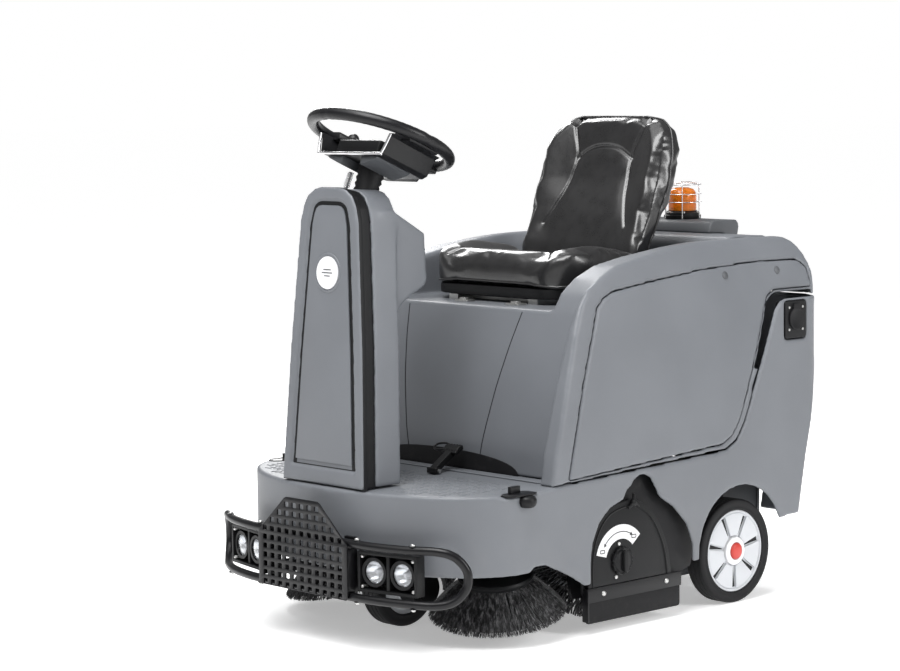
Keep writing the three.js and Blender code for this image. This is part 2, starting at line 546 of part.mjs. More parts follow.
// ---------------------------------------------------------------- hopper, filter, fan, batteries
const hopperBox = cut(
  join(box(-285, 285, 126, 560, 62, 284), box(-290, 290, 550, 558, 60, 294)),
  box(-279, 279, 100, 544, 68, 262), box(-279, 279, 110, 400, 68, 290));
const grip = pipe([[-70, 556, 240], [-70, 580, 240], [-50, 590, 240], [50, 590, 240], [70, 580, 240],
  [70, 556, 240]], 8, 16, 8);
add('hopper', join(hopperBox, grip), DARK_GREY);
add('dust_filter', box(-190, 190, 235, 440, 338.4, 470), FILTER);
add('suction_fan', join(rod([0, 505, 338.4], [0, 505, 430], 60, 24), rod([0, 505, 428], [0, 505, 500], 38, 20)), BLACK);
for (const [name, side] of SIDES) {
  const [x0, x1] = span(side, 10, 330);
  const posts = [60, 270].map((x) => rod([side * x, -40, 540], [side * x, -40, 566], 9, 12));
  add(`battery_${name}`, join(box(x0, x1, -190, -5, 338.4, 550), ...posts), BATTERY);
}

// ---------------------------------------------------------------- pedal
add('drive_pedal', join(
  box(44, 76, -334, -306, 354, 366),
  sweepX([[-326, 356], [-312, 356], [-246, 400], [-240, 408], [-250, 412], [-322, 366]], 50, 70),
  sweepX([[-262, 392], [-238, 408], [-243, 418], [-272, 404]], 36, 84)), BLACK);

// ---------------------------------------------------------------- seat
const seatDeck = SEAT_DECK_Z + GAP;
add('seat_rails', join(
  box(-150, -120, -70, 300, seatDeck, 742), box(120, 150, -70, 300, seatDeck, 742),
  box(-150, 150, -20, 10, seatDeck, 736), box(-150, 150, 240, 270, seatDeck, 736)), STEEL);
add('seat_pan', join(
  sweepZ([[-205, -50], [-180, -72], [180, -72], [205, -50], [205, 220], [180, 280], [-180, 280], [-205, 220]],
    742.4, 764),
  sweepX([[215, 745], [270, 745], [300, 800], [392, 1040], [385, 1046], [290, 830], [258, 764]], -60, 60)), BLACK);
const cushionPlan = [...arc(150, 0, 85, -90, 0, 6), [235, 190], [226, 206], [-226, 206], [-235, 190],
  ...arc(-150, 0, 85, 180, 270, 6)];
const cushionSide = [[-85, 790], [-84, 772], [-70, 764.4], [230, 764.4], [230, 822], [120, 832], [40, 846],
  [-30, 850], [-70, 838], [-84, 812]];
add('seat_cushion', sweepX(cushionSide, -240, 240).intersect(sweepZ(cushionPlan, 750, 870)), VINYL);
const backFront = [[200, 790], [208, 857], [216, 951], [214, 1020], [206, 1081], [190, 1135], [160, 1163], [110, 1175],
  [0, 1178]];
const backSide = [[207, 780], [207, 800], [216, 850], [262, 940], [290, 1010], [312, 1084], [328, 1138], [337, 1165],
  [350, 1178], [364, 1170], [378, 1130], [374, 1079], [352, 1010], [329, 960], [280, 866], [256, 800], [250, 780]];
add('seat_back', sweepX(backSide, -250, 250)
  .intersect(sweepY([...backFront, ...mirrorX(backFront.slice(0, -1)), [-200, 770], [200, 770]], 180, 450)), VINYL);

// ---------------------------------------------------------------- beacon
const beaconAt = [0, 600, 0];
const riser = sweepX([[530, 868.6], [586, 865.8], [613, 852.6], [634, 826], [646, 884], [635, 898],
  [556, 898], [540, 892]], -150, 150);
add('beacon_base', join(riser, turned([[0, 890], [44, 890], [46, 904], [44, 914], [37, 918], [30.6, 918], [30.6, 926], [0, 926]],
  beaconAt, [0, 0, 1], 24)), DARK_GREY);
add('beacon_lens', turned([[31, 918.4], [35.6, 918.4], [35.6, 958], [31, 970], [18, 976], [0, 977], [0, 973], [17, 972],
  [28, 966], [31, 956], [31, 918.4]], beaconAt, [0, 0, 1], 20), AMBER);
add('beacon_reflector', join(rod([0, 600, 926.4], [0, 600, 936], 8, 12),
  box(-16, 16, 597, 601, 934, 960)), SILVER);
const ring = (radius, z, wire) => {
  const profile = circle(radius, z, wire, 4);
  return turned([...profile, profile[0]], beaconAt, [0, 0, 1], 14);
};
const uprights = [];
for (let i = 0; i < 4; i++) {
  const turn = (i / 4) * 2 * Math.PI + 0.2;
  const at = (radius, z) => [radius * Math.cos(turn), beaconAt[1] + radius * Math.sin(turn), z];
  uprights.push(rod(at(48.6, 899), at(47, 986), 2, 4), rod(at(48, 985), at(0, 992), 2, 4));
}
add('beacon_cage', join(ring(48, 940, 2.4), ring(47, 984, 2.6), ...uprights), STEEL);

// ---------------------------------------------------------------- charging inlet and hood hinge
add('charger_socket', cut(box(381, 416, 505, 585, 623, 715), rod([390, 545, 672], [420, 545, 672], 23, 20)), BLACK);
add('charger_cap', join(
  rod([416.4, 545, 672], [421, 545, 672], 27, 20), box(416.4, 421, 533, 557, 694, 706),
  rod([418.6, 533, 706], [418.6, 557, 706], 2, 12)), BLACK);

export default model;
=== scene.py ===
"""A ride-on sweeper: finished surfaces, bristles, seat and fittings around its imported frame.

Metres, +Z up. The machine drives towards -Y and its left side is +X.
"""
import json
import math
import random

import bmesh
import bpy
import numpy as np
from mathutils import Matrix, Vector
from mathutils.bvhtree import BVHTree


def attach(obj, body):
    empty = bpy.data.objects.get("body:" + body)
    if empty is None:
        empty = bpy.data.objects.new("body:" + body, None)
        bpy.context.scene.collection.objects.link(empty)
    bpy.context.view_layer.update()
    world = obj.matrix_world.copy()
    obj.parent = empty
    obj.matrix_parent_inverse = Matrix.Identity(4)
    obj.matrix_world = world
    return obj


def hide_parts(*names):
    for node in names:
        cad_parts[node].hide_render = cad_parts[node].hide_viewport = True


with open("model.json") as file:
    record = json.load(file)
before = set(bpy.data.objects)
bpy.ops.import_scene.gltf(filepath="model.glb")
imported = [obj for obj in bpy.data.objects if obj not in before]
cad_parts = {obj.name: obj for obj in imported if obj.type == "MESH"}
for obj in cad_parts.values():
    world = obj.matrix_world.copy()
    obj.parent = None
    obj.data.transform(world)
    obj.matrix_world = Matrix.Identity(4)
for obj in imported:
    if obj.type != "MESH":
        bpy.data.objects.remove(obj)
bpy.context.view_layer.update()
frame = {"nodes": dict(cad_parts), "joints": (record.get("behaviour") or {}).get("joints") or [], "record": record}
NODES = frame["nodes"]
JOINTS = {joint["name"]: joint for joint in frame["joints"]}
SIDES = (("left", 1), ("right", -1))


# ------------------------------------------------------------------ shader building
class Wire:
    """One output socket of a finish. Arithmetic on it adds Math nodes."""

    def __init__(self, finish, socket):
        self.finish = finish
        self.socket = socket

    def math(self, operation, first, second=0.0):
        return self.finish.node("Math", {"operation": operation}, {0: first, 1: second})

    def __add__(self, other):
        return self.math("ADD", self, other)

    def __sub__(self, other):
        return self.math("SUBTRACT", self, other)

    def __rsub__(self, other):
        return self.math("SUBTRACT", other, self)

    def __mul__(self, other):
        return self.math("MULTIPLY", self, other)

    def __pow__(self, other):
        return self.math("POWER", self, other)

    def __lt__(self, other):
        return self.math("LESS_THAN", self, other)

    def __gt__(self, other):
        return self.math("GREATER_THAN", self, other)

    __radd__ = __add__
    __rmul__ = __mul__

    def sine(self):
        return self.math("SINE", self)


class Finish:
    """A material slot of the record, with its shader."""

    def __init__(self, name, slot, **constants):
        self.slot = slot
        self.material = bpy.data.materials.new(name)
        self.material.use_nodes = True
        self.tree = self.material.node_tree
        self.surface = self.tree.nodes["Principled BSDF"]
        self.normal = None
        for socket, value in constants.items():
            self.surface.inputs[socket.replace("_", " ")].default_value = value

    def node(self, kind, settings=(), inputs=(), output=0):
        made = self.tree.nodes.new("ShaderNode" + kind)
        for key, value in dict(settings).items():
            setattr(made, key, value)
        for key, value in dict(inputs).items():
            if isinstance(value, Wire):
                self.tree.links.new(value.socket, made.inputs[key])
            else:
                made.inputs[key].default_value = value
        return Wire(self, made.outputs[output])

    def place(self, stretch=(1, 1, 1)):
        """Where a point is on the machine, in metres, stretched along each axis."""
        point = self.node("TexCoord", output=3)
        return self.node("Mapping", {}, {0: point, 3: stretch})

    def axis(self, letter):
        return self.node("SeparateXYZ", {}, {0: self.node("TexCoord", output=3)}, "XYZ".index(letter))

    def noise(self, scale, detail=2.0, roughness=0.5, stretch=(1, 1, 1)):
        sizes = {"Vector": self.place(stretch), "Scale": scale, "Detail": detail, "Roughness": roughness}
        return self.node("TexNoise", {}, sizes)

    def cells(self, scale, feature="F1", stretch=(1, 1, 1)):
        return self.node("TexVoronoi", {"feature": feature}, {"Vector": self.place(stretch), "Scale": scale})

    def ramp(self, value, low, high, start=0.0, end=1.0):
        limits = {"Value": value, "From Min": low, "From Max": high, "To Min": start, "To Max": end}
        return self.node("MapRange", {"interpolation_type": "SMOOTHSTEP"}, limits)

    def mix(self, factor, first, second):
        pair = {0: factor, 6: (*first, 1) if isinstance(first, tuple) else first,
                7: (*second, 1) if isinstance(second, tuple) else second}
        return self.node("Mix", {"data_type": "RGBA"}, pair, 2)

    def feed(self, socket, wire):
        self.tree.links.new(wire.socket, self.surface.inputs[socket])

    def bump(self, height, depth, strength=1.0):
        sizes = {"Height": height, "Distance": depth, "Strength": strength}
        if self.normal:
            sizes["Normal"] = self.normal
        self.normal = self.node("Bump", {}, sizes)
        self.feed("Normal", self.normal)


def moulded(name, slot, light, dark, roughness, grain=0.00025, scale=1100.0, dust=0.0, shine=0.5):
    """Grained moulded plastic: a fine texture, a little mottling and dust towards the floor."""
    finish = Finish(name, slot, Specular_IOR_Level=shine)
    mottle = finish.ramp(finish.noise(5.0, 4.0), 0.3, 0.7)
    speckle = finish.noise(scale, 2.0, 0.6)
    colour = finish.mix(mottle * 0.7 + speckle * 0.3, dark, light)
    if dust:
        low = finish.ramp(finish.axis("Z"), 0.42, 0.05) * finish.ramp(finish.noise(14.0, 5.0), 0.35, 0.75)
        colour = finish.mix(low * dust, colour, (0.34, 0.32, 0.29))
    finish.feed("Base Color", colour)
    finish.feed("Roughness", roughness - 0.06 + speckle * 0.1 + mottle * 0.04)
    finish.bump(speckle, grain, 0.6)
    finish.bump(finish.noise(70.0, 3.0), 0.0005, 0.12)
    return finish


def coated_steel(name, slot, colour, roughness=0.32, metallic=0.0):
    """Powder coat: glossy with a faint orange peel and light rubs."""
    finish = Finish(name, slot, Metallic=metallic, Specular_IOR_Level=0.28)
    rub = finish.ramp(finish.noise(38.0, 6.0, 0.7), 0.6, 0.8)
    finish.feed("Base Color", finish.mix(rub * 0.35, colour, tuple(c * 2.2 + 0.01 for c in colour)))
    finish.feed("Roughness", roughness + rub * 0.2 + finish.noise(9.0) * 0.08)
    finish.bump(finish.noise(420.0, 1.0), 0.0003, 0.35)
    return finish


def bare_metal(name, slot, colour, roughness=0.3, stretch=(1, 1, 12)):
    """Plated or brushed metal."""
    finish = Finish(name, slot, Metallic=1.0)
    brushed = finish.noise(300.0, 3.0, 0.6, stretch)
    tarnish = finish.ramp(finish.noise(16.0, 5.0), 0.45, 0.8)
    finish.feed("Base Color", finish.mix(tarnish * 0.4, colour, tuple(c * 0.62 for c in colour)))
    finish.feed("Roughness", roughness + brushed * 0.12 + tarnish * 0.12)
    finish.bump(brushed, 0.0001, 0.25)
    return finish


def rubbery(name, slot, colour, roughness=0.72):
    """Black rubber with dust in its texture."""
    finish = Finish(name, slot, Specular_IOR_Level=0.22)
    dust = finish.ramp(finish.noise(34.0, 6.0, 0.65), 0.5, 0.85)
    finish.feed("Base Color", finish.mix(dust * 0.15, colour, (0.11, 0.105, 0.1)))
    finish.feed("Roughness", roughness + dust * 0.15)
    finish.bump(finish.noise(700.0, 2.0), 0.0002, 0.4)
    return finish


def vinyl():
    """Black upholstery vinyl with a pebbled grain and fine creases."""
    finish = Finish("seat_vinyl", "seat_vinyl", Specular_IOR_Level=0.6, Coat_Roughness=0.12)
    pebble = finish.cells(420.0, "SMOOTH_F1")
    crease = finish.ramp(finish.noise(26.0, 5.0, 0.6), 0.35, 0.65)
    finish.feed("Base Color", finish.mix(crease, (0.007, 0.0068, 0.0073), (0.01, 0.0097, 0.0103)))
    finish.feed("Roughness", 0.24 + pebble * 0.14 + crease * 0.05)
    finish.feed("Coat Weight", 0.32 + crease * 0.04)
    finish.bump(pebble, 0.0006, 0.12)
    finish.bump(finish.noise(55.0, 4.0, 0.6), 0.0012, 0.05)
    return finish


def lens(name, slot, colour, transmission, roughness):
    """Clear or coloured moulded lens with a little haze."""
    finish = Finish(name, slot, Transmission_Weight=transmission, IOR=1.46)
    haze = finish.noise(120.0, 4.0)
    finish.feed("Base Color", finish.mix(haze * 0.4, colour, tuple(c * 0.85 for c in colour)))
    finish.feed("Roughness", roughness + haze * 0.08)
    finish.bump(haze, 0.0002, 0.2)
    return finish


def filament(name, light, dark):
    """Nylon bristles, each tuft a shade of its own."""
    finish = Finish(name, "bristle")
    tuft = finish.ramp(finish.noise(150.0, 3.0, 0.7, (1, 1, 0.15)), 0.42, 0.7)
    finish.feed("Base Color", finish.mix(tuft, dark, light))
    finish.feed("Roughness", 0.42 + tuft * 0.2)
    finish.bump(finish.noise(900.0, 1.0), 0.0002, 0.3)
    return finish


def pleated():
    """Pleated filter paper, painted darker in its folds and lighter on its crests: painted shade and painted highlight.
    """
    finish = Finish("filter_paper", "filter_paper")
    pleat = (finish.axis("X") * 900.0).sine()
    # The colour follows the pleats: painted shade in the folds, painted light on the crests.
    finish.feed("Base Color", finish.mix(finish.ramp(pleat, -1, 1), (0.48, 0.45, 0.37), (0.74, 0.71, 0.62)))
    finish.feed("Roughness", 0.85 + finish.noise(200.0) * 0.1)
    finish.bump(pleat, 0.002, 0.8)
    return finish


GREY = moulded("body_grey", "body_grey", (0.146, 0.155, 0.17), (0.128, 0.136, 0.15), 0.44, dust=0.06)
DARK_GREY = moulded("dark_grey", "dark_grey_plastic", (0.085, 0.09, 0.098), (0.06, 0.064, 0.07), 0.5)
BLACK = moulded("black_plastic", "black_plastic", (0.01, 0.0102, 0.011), (0.006, 0.0062, 0.0068), 0.42, shine=0.2)
GRIP = moulded("wheel_grip", "black_plastic", (0.008, 0.008, 0.009), (0.005, 0.005, 0.006), 0.3, 0.0004, 800.0,
               shine=0.3)
SILVER = moulded("silver_lacquer", "silver_plastic", (0.6, 0.615, 0.64), (0.53, 0.545, 0.57), 0.36, 0.0001)
WHITE = moulded("white_disc", "silver_plastic", (0.8, 0.8, 0.81), (0.72, 0.72, 0.74), 0.34, 0.00005)
RED = moulded("red_cap", "silver_plastic", (0.62, 0.055, 0.04), (0.48, 0.04, 0.03), 0.33, 0.00005)
CASE = moulded("battery_case", "battery_case", (0.05, 0.055, 0.068), (0.036, 0.04, 0.05), 0.5)
STEEL_BLACK = coated_steel("black_coat", "black_steel", (0.006, 0.006, 0.007), 0.28)
STEEL = bare_metal("zinc_plate", "steel", (0.58, 0.58, 0.57), 0.3)
CHROME = bare_metal("bright_wire", "steel", (0.78, 0.78, 0.79), 0.14)
TYRE = rubbery("tyre_rubber", "tyre_rubber", (0.01, 0.01, 0.011), 0.62)
RUBBER = rubbery("skirt_rubber", "rubber", (0.007, 0.007, 0.008), 0.55)
VINYL = vinyl()
CLEAR = lens("clear_lens", "clear_lens", (0.93, 0.95, 0.97), 0.96, 0.03)
AMBER = lens("amber_lens", "amber_lens", (1.0, 0.3, 0.02), 0.55, 0.1)
BRISTLE = filament("bristle", (0.16, 0.16, 0.165), (0.012, 0.012, 0.013))
# A darker copy of the bristle finish for the solid root core: painted shade among the crowded roots.
SHADED_BRISTLE_ROOT = filament("shaded_bristle_root", (0.05, 0.05, 0.053), (0.008, 0.008, 0.009))
FILTER = pleated()


# ------------------------------------------------------------------ making and placing pieces
def settle(piece, finish, body, replaces=()):
    """Gives a piece its finish, links it and lets it ride on its body."""
    if piece.name not in bpy.context.scene.collection.objects:
        bpy.context.scene.collection.objects.link(piece)
    if piece.type == "MESH":
        piece.data.materials.clear()
        piece.data.materials.append(finish.material)
        piece.data.polygons.foreach_set("use_smooth", [True] * len(piece.data.polygons))
    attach(piece, body)
    if replaces:
        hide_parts(*replaces)
    return piece


def piece_from(name, verts, faces, finish, body, replaces=(), bevel=0.0, segments=2, sharp=50):
    """A piece from points and faces, with its sharp edges rounded off."""
    bm = bmesh.new()
    points = [bm.verts.new(v) for v in verts]
    for face in faces:
        bm.faces.new([points[i] for i in face])
    return piece_of(name, bm, finish, body, replaces, bevel, segments, sharp)


def piece_of(name, bm, finish, body, replaces=(), bevel=0.0, segments=2, sharp=50):
    bmesh.ops.remove_doubles(bm, verts=bm.verts, dist=1e-6)
    bmesh.ops.recalc_face_normals(bm, faces=bm.faces)
    if bevel:
        edges = [e for e in bm.edges if len(e.link_faces) == 2 and e.calc_face_angle() > math.radians(28)]
        bmesh.ops.bevel(bm, geom=edges, offset=bevel, segments=segments, profile=0.6, affect="EDGES",
                        clamp_overlap=True)
    mesh = bpy.data.meshes.new(name)
    bm.to_mesh(mesh)
    bm.free()
    piece = bpy.data.objects.new(name, mesh)
    settle(piece, finish, body, replaces)
    mesh.set_sharp_from_angle(angle=math.radians(sharp))
    return piece


def joined(parts):
    """Points and faces of several shapes as one."""
    verts, faces = [], []
    for part_verts, part_faces in parts:
        start = len(verts)
        verts += list(part_verts)
        faces += [tuple(i + start for i in face) for face in part_faces]
    return verts, faces


def arc(u, v, radius, start, end, steps):
    """Points on an arc, with angles in degrees."""
    turns = [math.radians(start + (end - start) * i / steps) for i in range(steps + 1)]
    return [(u + radius * math.cos(t), v + radius * math.sin(t)) for t in turns]


def round_rect(u0, u1, v0, v1, radius, steps=4):
    """A rectangle outline with round corners."""
    return (arc(u1 - radius, v1 - radius, radius, 0, 90, steps) + arc(u0 + radius, v1 - radius, radius, 90, 180,
                                                                      steps)
            + arc(u0 + radius, v0 + radius, radius, 180, 270, steps)
            + arc(u1 - radius, v0 + radius, radius, 270, 360, steps))


def slab(outline, low, high, axis, place=None):
    """An outline in the plane across an axis, thickened along it."""
    order = {"X": lambda u, v, w: (w, u, v), "Y": lambda u, v, w: (u, w, v), "Z": lambda u, v, w: (u, v, w)}[axis]
    count = len(outline)
    verts = [Vector(order(u, v, w)) for w in (low, high) for u, v in outline]
    faces = [tuple(range(count)), tuple(range(count, 2 * count))]
    faces += [(i, (i + 1) % count, count + (i + 1) % count, count + i) for i in range(count)]
    if place:
        verts = [place @ v for v in verts]
    return verts, faces


def frame_faces(count):
    """Faces of a flat frame whose points are listed as outer and inner loop, first low, then high."""
    faces = []
    for i in range(count):
        j = (i + 1) % count
        for a, b in ((0, 1), (2, 3), (0, 2), (1, 3)):
            faces.append((a * count + i, a * count + j, b * count + j, b * count + i))
    return faces


def turned(profile, centre, axis, steps=48, closed=False):
    """A (radius, height) profile turned about an axis through a centre."""
    turn = Vector((0, 0, 1)).rotation_difference(Vector(axis)).to_matrix()
    rows = len(profile)
    verts = []
    for i in range(steps):
        angle = 2 * math.pi * i / steps
        verts += [Vector(centre) + turn @ Vector((r * math.cos(angle), r * math.sin(angle), h)) for r, h in profile]
    faces = []
    for i in range(steps):
        a, b = i * rows, (i + 1) % steps * rows
        faces += [(a + j, b + j, b + (j + 1) % rows, a + (j + 1) % rows) for j in range(rows if closed else rows - 1)]
    return verts, faces


def spline(points, steps, closed=False):
    """Evenly spaced points on a smooth curve through the given ones."""
    given = [Vector(p) for p in points]
    count = len(given)
    dense = []
    for i in range(count if closed else count - 1):
        around = [given[(i + k) % count] if closed else given[min(max(i + k, 0), count - 1)] for k in (-1, 0, 1, 2)]
        for j in range(16):
            t = j / 16
            a, b, c, d = around
            dense.append(0.5 * (2 * b + (c - a) * t + (2 * a - 5 * b + 4 * c - d) * t * t
                                + (3 * b - 3 * c + d - a) * t ** 3))
    dense.append(given[0] if closed else given[-1])
    reach = [0.0]
    for a, b in zip(dense, dense[1:]):
        reach.append(reach[-1] + (b - a).length)
    route, k = [], 0
    for i in range(steps + (0 if closed else 1)):
        want = reach[-1] * i / steps
        while k < len(reach) - 2 and reach[k + 1] < want:
            k += 1
        part = (want - reach[k]) / max(reach[k + 1] - reach[k], 1e-9)
        route.append(dense[k].lerp(dense[k + 1], min(part, 1)))
    return route


def tube(route, radius, sides=12, closed=False, flat=1.0):
    """A round bar along a route. The radius may be a function of the way along it."""
    count = len(route)
    verts, faces = [], []
    side = None
    for i, point in enumerate(route):
        ahead = route[(i + 1) % count] if closed else route[min(i + 1, count - 1)]
        behind = route[i - 1] if closed else route[max(i - 1, 0)]
        along = (ahead - behind).normalized()
        if side is None:
            side = along.orthogonal().normalized()
        side = (side - along * side.dot(along)).normalized()
        up = along.cross(side)
        r = radius(i / max(count - 1, 1)) if callable(radius) else radius
        for j in range(sides):
            turn = 2 * math.pi * j / sides
            verts.append(point + side * (r * math.cos(turn)) + up * (r * flat * math.sin(turn)))
    for i in range(count if closed else count - 1):
        a, b = i * sides, (i + 1) % count * sides
        faces += [(a + j, a + (j + 1) % sides, b + (j + 1) % sides, b + j) for j in range(sides)]
    if not closed:
        faces += [tuple(reversed(range(sides))), tuple(range((count - 1) * sides, count * sides))]
    return verts, faces


def flipped(shape, side):
    """The same shape on the other side of the centre plane when side is -1."""
    verts, faces = shape
    return [Vector((v.x * side, v.y, v.z)) for v in verts], faces


def surface_of(piece):
    """A tree for finding the nearest point on a piece."""
    return BVHTree.FromObject(piece, bpy.context.evaluated_depsgraph_get())


# ------------------------------------------------------------------ camera, light and floor
def camera():
    """Level with the seat, ahead of the machine's left front corner."""
    heading, down, roll = math.radians(47.126), math.radians(5.508), math.radians(-0.667)
    look = Vector((-math.sin(heading) * math.cos(down), math.cos(heading) * math.cos(down), -math.sin(down)))
    right = Vector((math.cos(heading), math.sin(heading), 0))
    up = right.cross(look)
    right, up = (right * math.cos(roll) + up * math.sin(roll), up * math.cos(roll) - right * math.sin(roll))
    data = bpy.data.cameras.new("camera")
    data.lens = 104.0
    data.sensor_width = 36.0
    eye = bpy.data.objects.new("camera", data)
    eye.matrix_world = Matrix((right, up, -look)).transposed().to_4x4()
    eye.location = (4.427, -4.319, 1.242)
    bpy.context.scene.collection.objects.link(eye)
    bpy.context.scene.camera = eye


def softbox(name, place, target, size, power, tint=(1, 1, 1)):
    data = bpy.data.lights.new(name, "AREA")
    data.shape = "RECTANGLE"
    data.size, data.size_y = size
    data.energy = power
    data.color = tint
    lamp = bpy.data.objects.new(name, data)
    lamp.location = place
    lamp.rotation_euler = (Vector(target) - Vector(place)).to_track_quat("-Z", "Y").to_euler()
    bpy.context.scene.collection.objects.link(lamp)


def studio():
    """A pale floor under soft daylight, with a large soft light overhead."""
    world = bpy.data.worlds.new("studio")
    world.use_nodes = True
    nodes, links = world.node_tree.nodes, world.node_tree.links
    background = nodes["Background"]
    background.inputs["Color"].default_value = (1.0, 1.0, 1.0, 1)
    background.inputs["Strength"].default_value = 0.27
    backdrop = nodes.new("ShaderNodeBackground")
    backdrop.inputs["Color"].default_value = (1.0, 1.0, 1.0, 1)
    backdrop.inputs["Strength"].default_value = 1.0
    rays = nodes.new("ShaderNodeLightPath")
    both = nodes.new("ShaderNodeMixShader")
    links.new(rays.outputs["Is Camera Ray"], both.inputs[0])
    links.new(background.outputs[0], both.inputs[1])
    links.new(backdrop.outputs[0], both.inputs[2])
    links.new(both.outputs[0], nodes["World Output"].inputs["Surface"])
    bpy.context.scene.world = world
    bpy.context.scene.view_settings.view_transform = "Standard"
    daylight = bpy.data.lights.new("daylight", "SUN")
    daylight.energy = 1.3
    daylight.angle = math.radians(60)
    sun = bpy.data.objects.new("daylight", daylight)
    sun.rotation_euler = (math.radians(22), math.radians(-8), 0)
    bpy.context.scene.collection.objects.link(sun)
    softbox("overhead", (0.6, -1.3, 3.2), (0, 0, 0.6), (1.5, 2.4), 105)
    softbox("rim", (-2.8, 1.6, 2.6), (0, 0.2, 0.9), (0.8, 2.2), 70)
    softbox("front", (-0.6, -4.2, 1.9), (0, 0, 0.7), (0.9, 1.8), 3)
    softbox("side", (4.3, 1.2, 2.3), (0.3, 0.2, 0.6), (1.3, 2.2), 105)
    mesh = bpy.data.meshes.new("floor")
    reach = 60.0
    mesh.from_pydata([(-reach, -reach, 0), (reach, -reach, 0), (reach, reach, 0), (-reach, reach, 0)], [], [(0, 1, 2, 3)])
    floor = bpy.data.objects.new("floor", mesh)
    bpy.context.scene.collection.objects.link(floor)
    paint = bpy.data.materials.new("floor")
    paint.use_nodes = True
    shader = paint.node_tree.nodes["Principled BSDF"]
    shader.inputs["Base Color"].default_value = (0.95, 0.95, 0.95, 1)
    shader.inputs["Roughness"].default_value = 0.9
    shader.inputs["Specular IOR Level"].default_value = 0.0
    shader.inputs["Emission Color"].default_value = (1.0, 1.0, 1.0, 1)
    shader.inputs["Emission Strength"].default_value = 0.38
    mesh.materials.append(paint)


# ------------------------------------------------------------------ moulded shells
def remeshed(name, source, voxel):
    """A copy of a mesh as one even skin of small faces."""
    piece = bpy.data.objects.new(name, source.data.copy())
    bpy.context.scene.collection.objects.link(piece)
    even = piece.modifiers.new("even", "REMESH")
    even.mode = "VOXEL"
    even.voxel_size = voxel
    skin = bpy.data.meshes.new_from_object(piece.evaluated_get(bpy.context.evaluated_depsgraph_get()))
    piece.modifiers.clear()
    piece.data = skin
    return piece


def points_of(mesh):
    points = np.empty(len(mesh.vertices) * 3)
    mesh.vertices.foreach_get("co", points)
    return points.reshape(-1, 3)


def edges_of(mesh):
    edges = np.empty(len(mesh.edges) * 2, dtype=np.int64)
    mesh.edges.foreach_get("vertices", edges)
    return edges.reshape(-1, 2)


def spread(values, edges, rounds, freedom=1.0):
    """Averages values over neighbouring points, round after round, as far as each point is free to."""
    first, second = edges[:, 0], edges[:, 1]
    count = len(values)
    degree = np.bincount(first, minlength=count) + np.bincount(second, minlength=count)
    values = values.copy()
    for _ in range(rounds):
        for column in range(values.shape[1]):
            line = values[:, column]
            total = (np.bincount(first, weights=line[second], minlength=count)
                     + np.bincount(second, weights=line[first], minlength=count))
            line += (total / degree - line) * 0.5 * freedom
    return values


def soften(piece, edge_rounds, face_rounds):
    """Rounds every edge a little, then evens out the broad faces and leaves the edges alone."""
    mesh = piece.data
    edges = edges_of(mesh)
    points = spread(points_of(mesh), edges, edge_rounds)
    mesh.vertices.foreach_set("co", points.ravel())
    mesh.update()
    normals = np.empty(len(points) * 3)
    mesh.vertex_normals.foreach_get("vector", normals)
    normals = normals.reshape(-1, 3)
    bend = 1 - (normals[edges[:, 0]] * normals[edges[:, 1]]).sum(1)
    sharp = np.zeros(len(points))
    for column in (0, 1):
        np.maximum.at(sharp, edges[:, column], bend)
    held = spread(np.clip(sharp / 0.02, 0, 1)[:, None], edges, 4)[:, 0]
    points = spread(points, edges, face_rounds, np.clip(1.0 - 1.6 * held, 0, 1))
    mesh.vertices.foreach_set("co", points.ravel())
    mesh.update()


def thinned(piece, keep):
    """Fewer faces where the skin is flat."""
    fewer = piece.modifiers.new("fewer", "DECIMATE")
    fewer.ratio = keep
    skin = bpy.data.meshes.new_from_object(piece.evaluated_get(bpy.context.evaluated_depsgraph_get()))
    piece.modifiers.clear()
    piece.data = skin
    return piece


NOSE = {"half": 0.415, "y": -0.387, "reach": 0.23, "faces": 22}


def round_nose(piece):
    """Bows the flat faces around the nose out to the true half ellipse."""
    mesh = piece.data
    points = points_of(mesh)
    ahead = points[:, 1] < NOSE["y"]
    turn = np.arctan2((NOSE["y"] - points[:, 1]) / NOSE["reach"], points[:, 0] / NOSE["half"])
    step = math.pi / NOSE["faces"]
    chord = math.cos(step / 2) / np.cos(np.mod(turn, step) - step / 2)
    chord = np.where(ahead, chord, 1.0)
    points[:, 0] /= chord
    points[:, 1] = NOSE["y"] + (points[:, 1] - NOSE["y"]) / chord
    mesh.vertices.foreach_set("co", points.ravel())
    mesh.update()


def grown(piece, amount):
    """Gives back what the softening drew in, along each point's normal."""
    mesh = piece.data
    normals = np.empty(len(mesh.vertices) * 3)
    mesh.vertex_normals.foreach_get("vector", normals)
    mesh.vertices.foreach_set("co", points_of(mesh).ravel() + normals * amount)
    mesh.update()


def shell(node, body, voxel=0.0045, edge_rounds=7, face_rounds=70, keep=0.4, nose=False, finish=GREY, grow=0.0):
    """A moulded shell with soft edges, in the place of its plain node."""
    piece = remeshed("shell_" + node, NODES[node], voxel)
    if nose:
        round_nose(piece)
    soften(piece, edge_rounds, face_rounds)
    grown(piece, grow)
    thinned(piece, keep)
    return settle(piece, finish, body, [node])


def shells():
    lower = shell("lower_body", "chassis", voxel=0.004, nose=True, grow=0.001)
    hood = shell("hood", "hood", voxel=0.004, edge_rounds=10, grow=0.0014)
    for name, _ in SIDES:
        shell("side_panel_" + name, "hood", voxel=0.003, edge_rounds=9, grow=0.0016)
    shell("column_front_cover", "chassis", voxel=0.0026, edge_rounds=8, face_rounds=10, grow=0.0006)
    shell("column_rear_cover", "chassis", voxel=0.003, edge_rounds=8, face_rounds=30, grow=0.0006)
    # The band between the column covers is black: painted shade of the deep groove between them.
    shell("column_band", "chassis", voxel=0.0024, edge_rounds=8, face_rounds=10, finish=BLACK, grow=0.0016)
    return lower, hood


# ------------------------------------------------------------------ wheels
REAR_CENTRE = Vector((0.366, 0.352, 0.125))


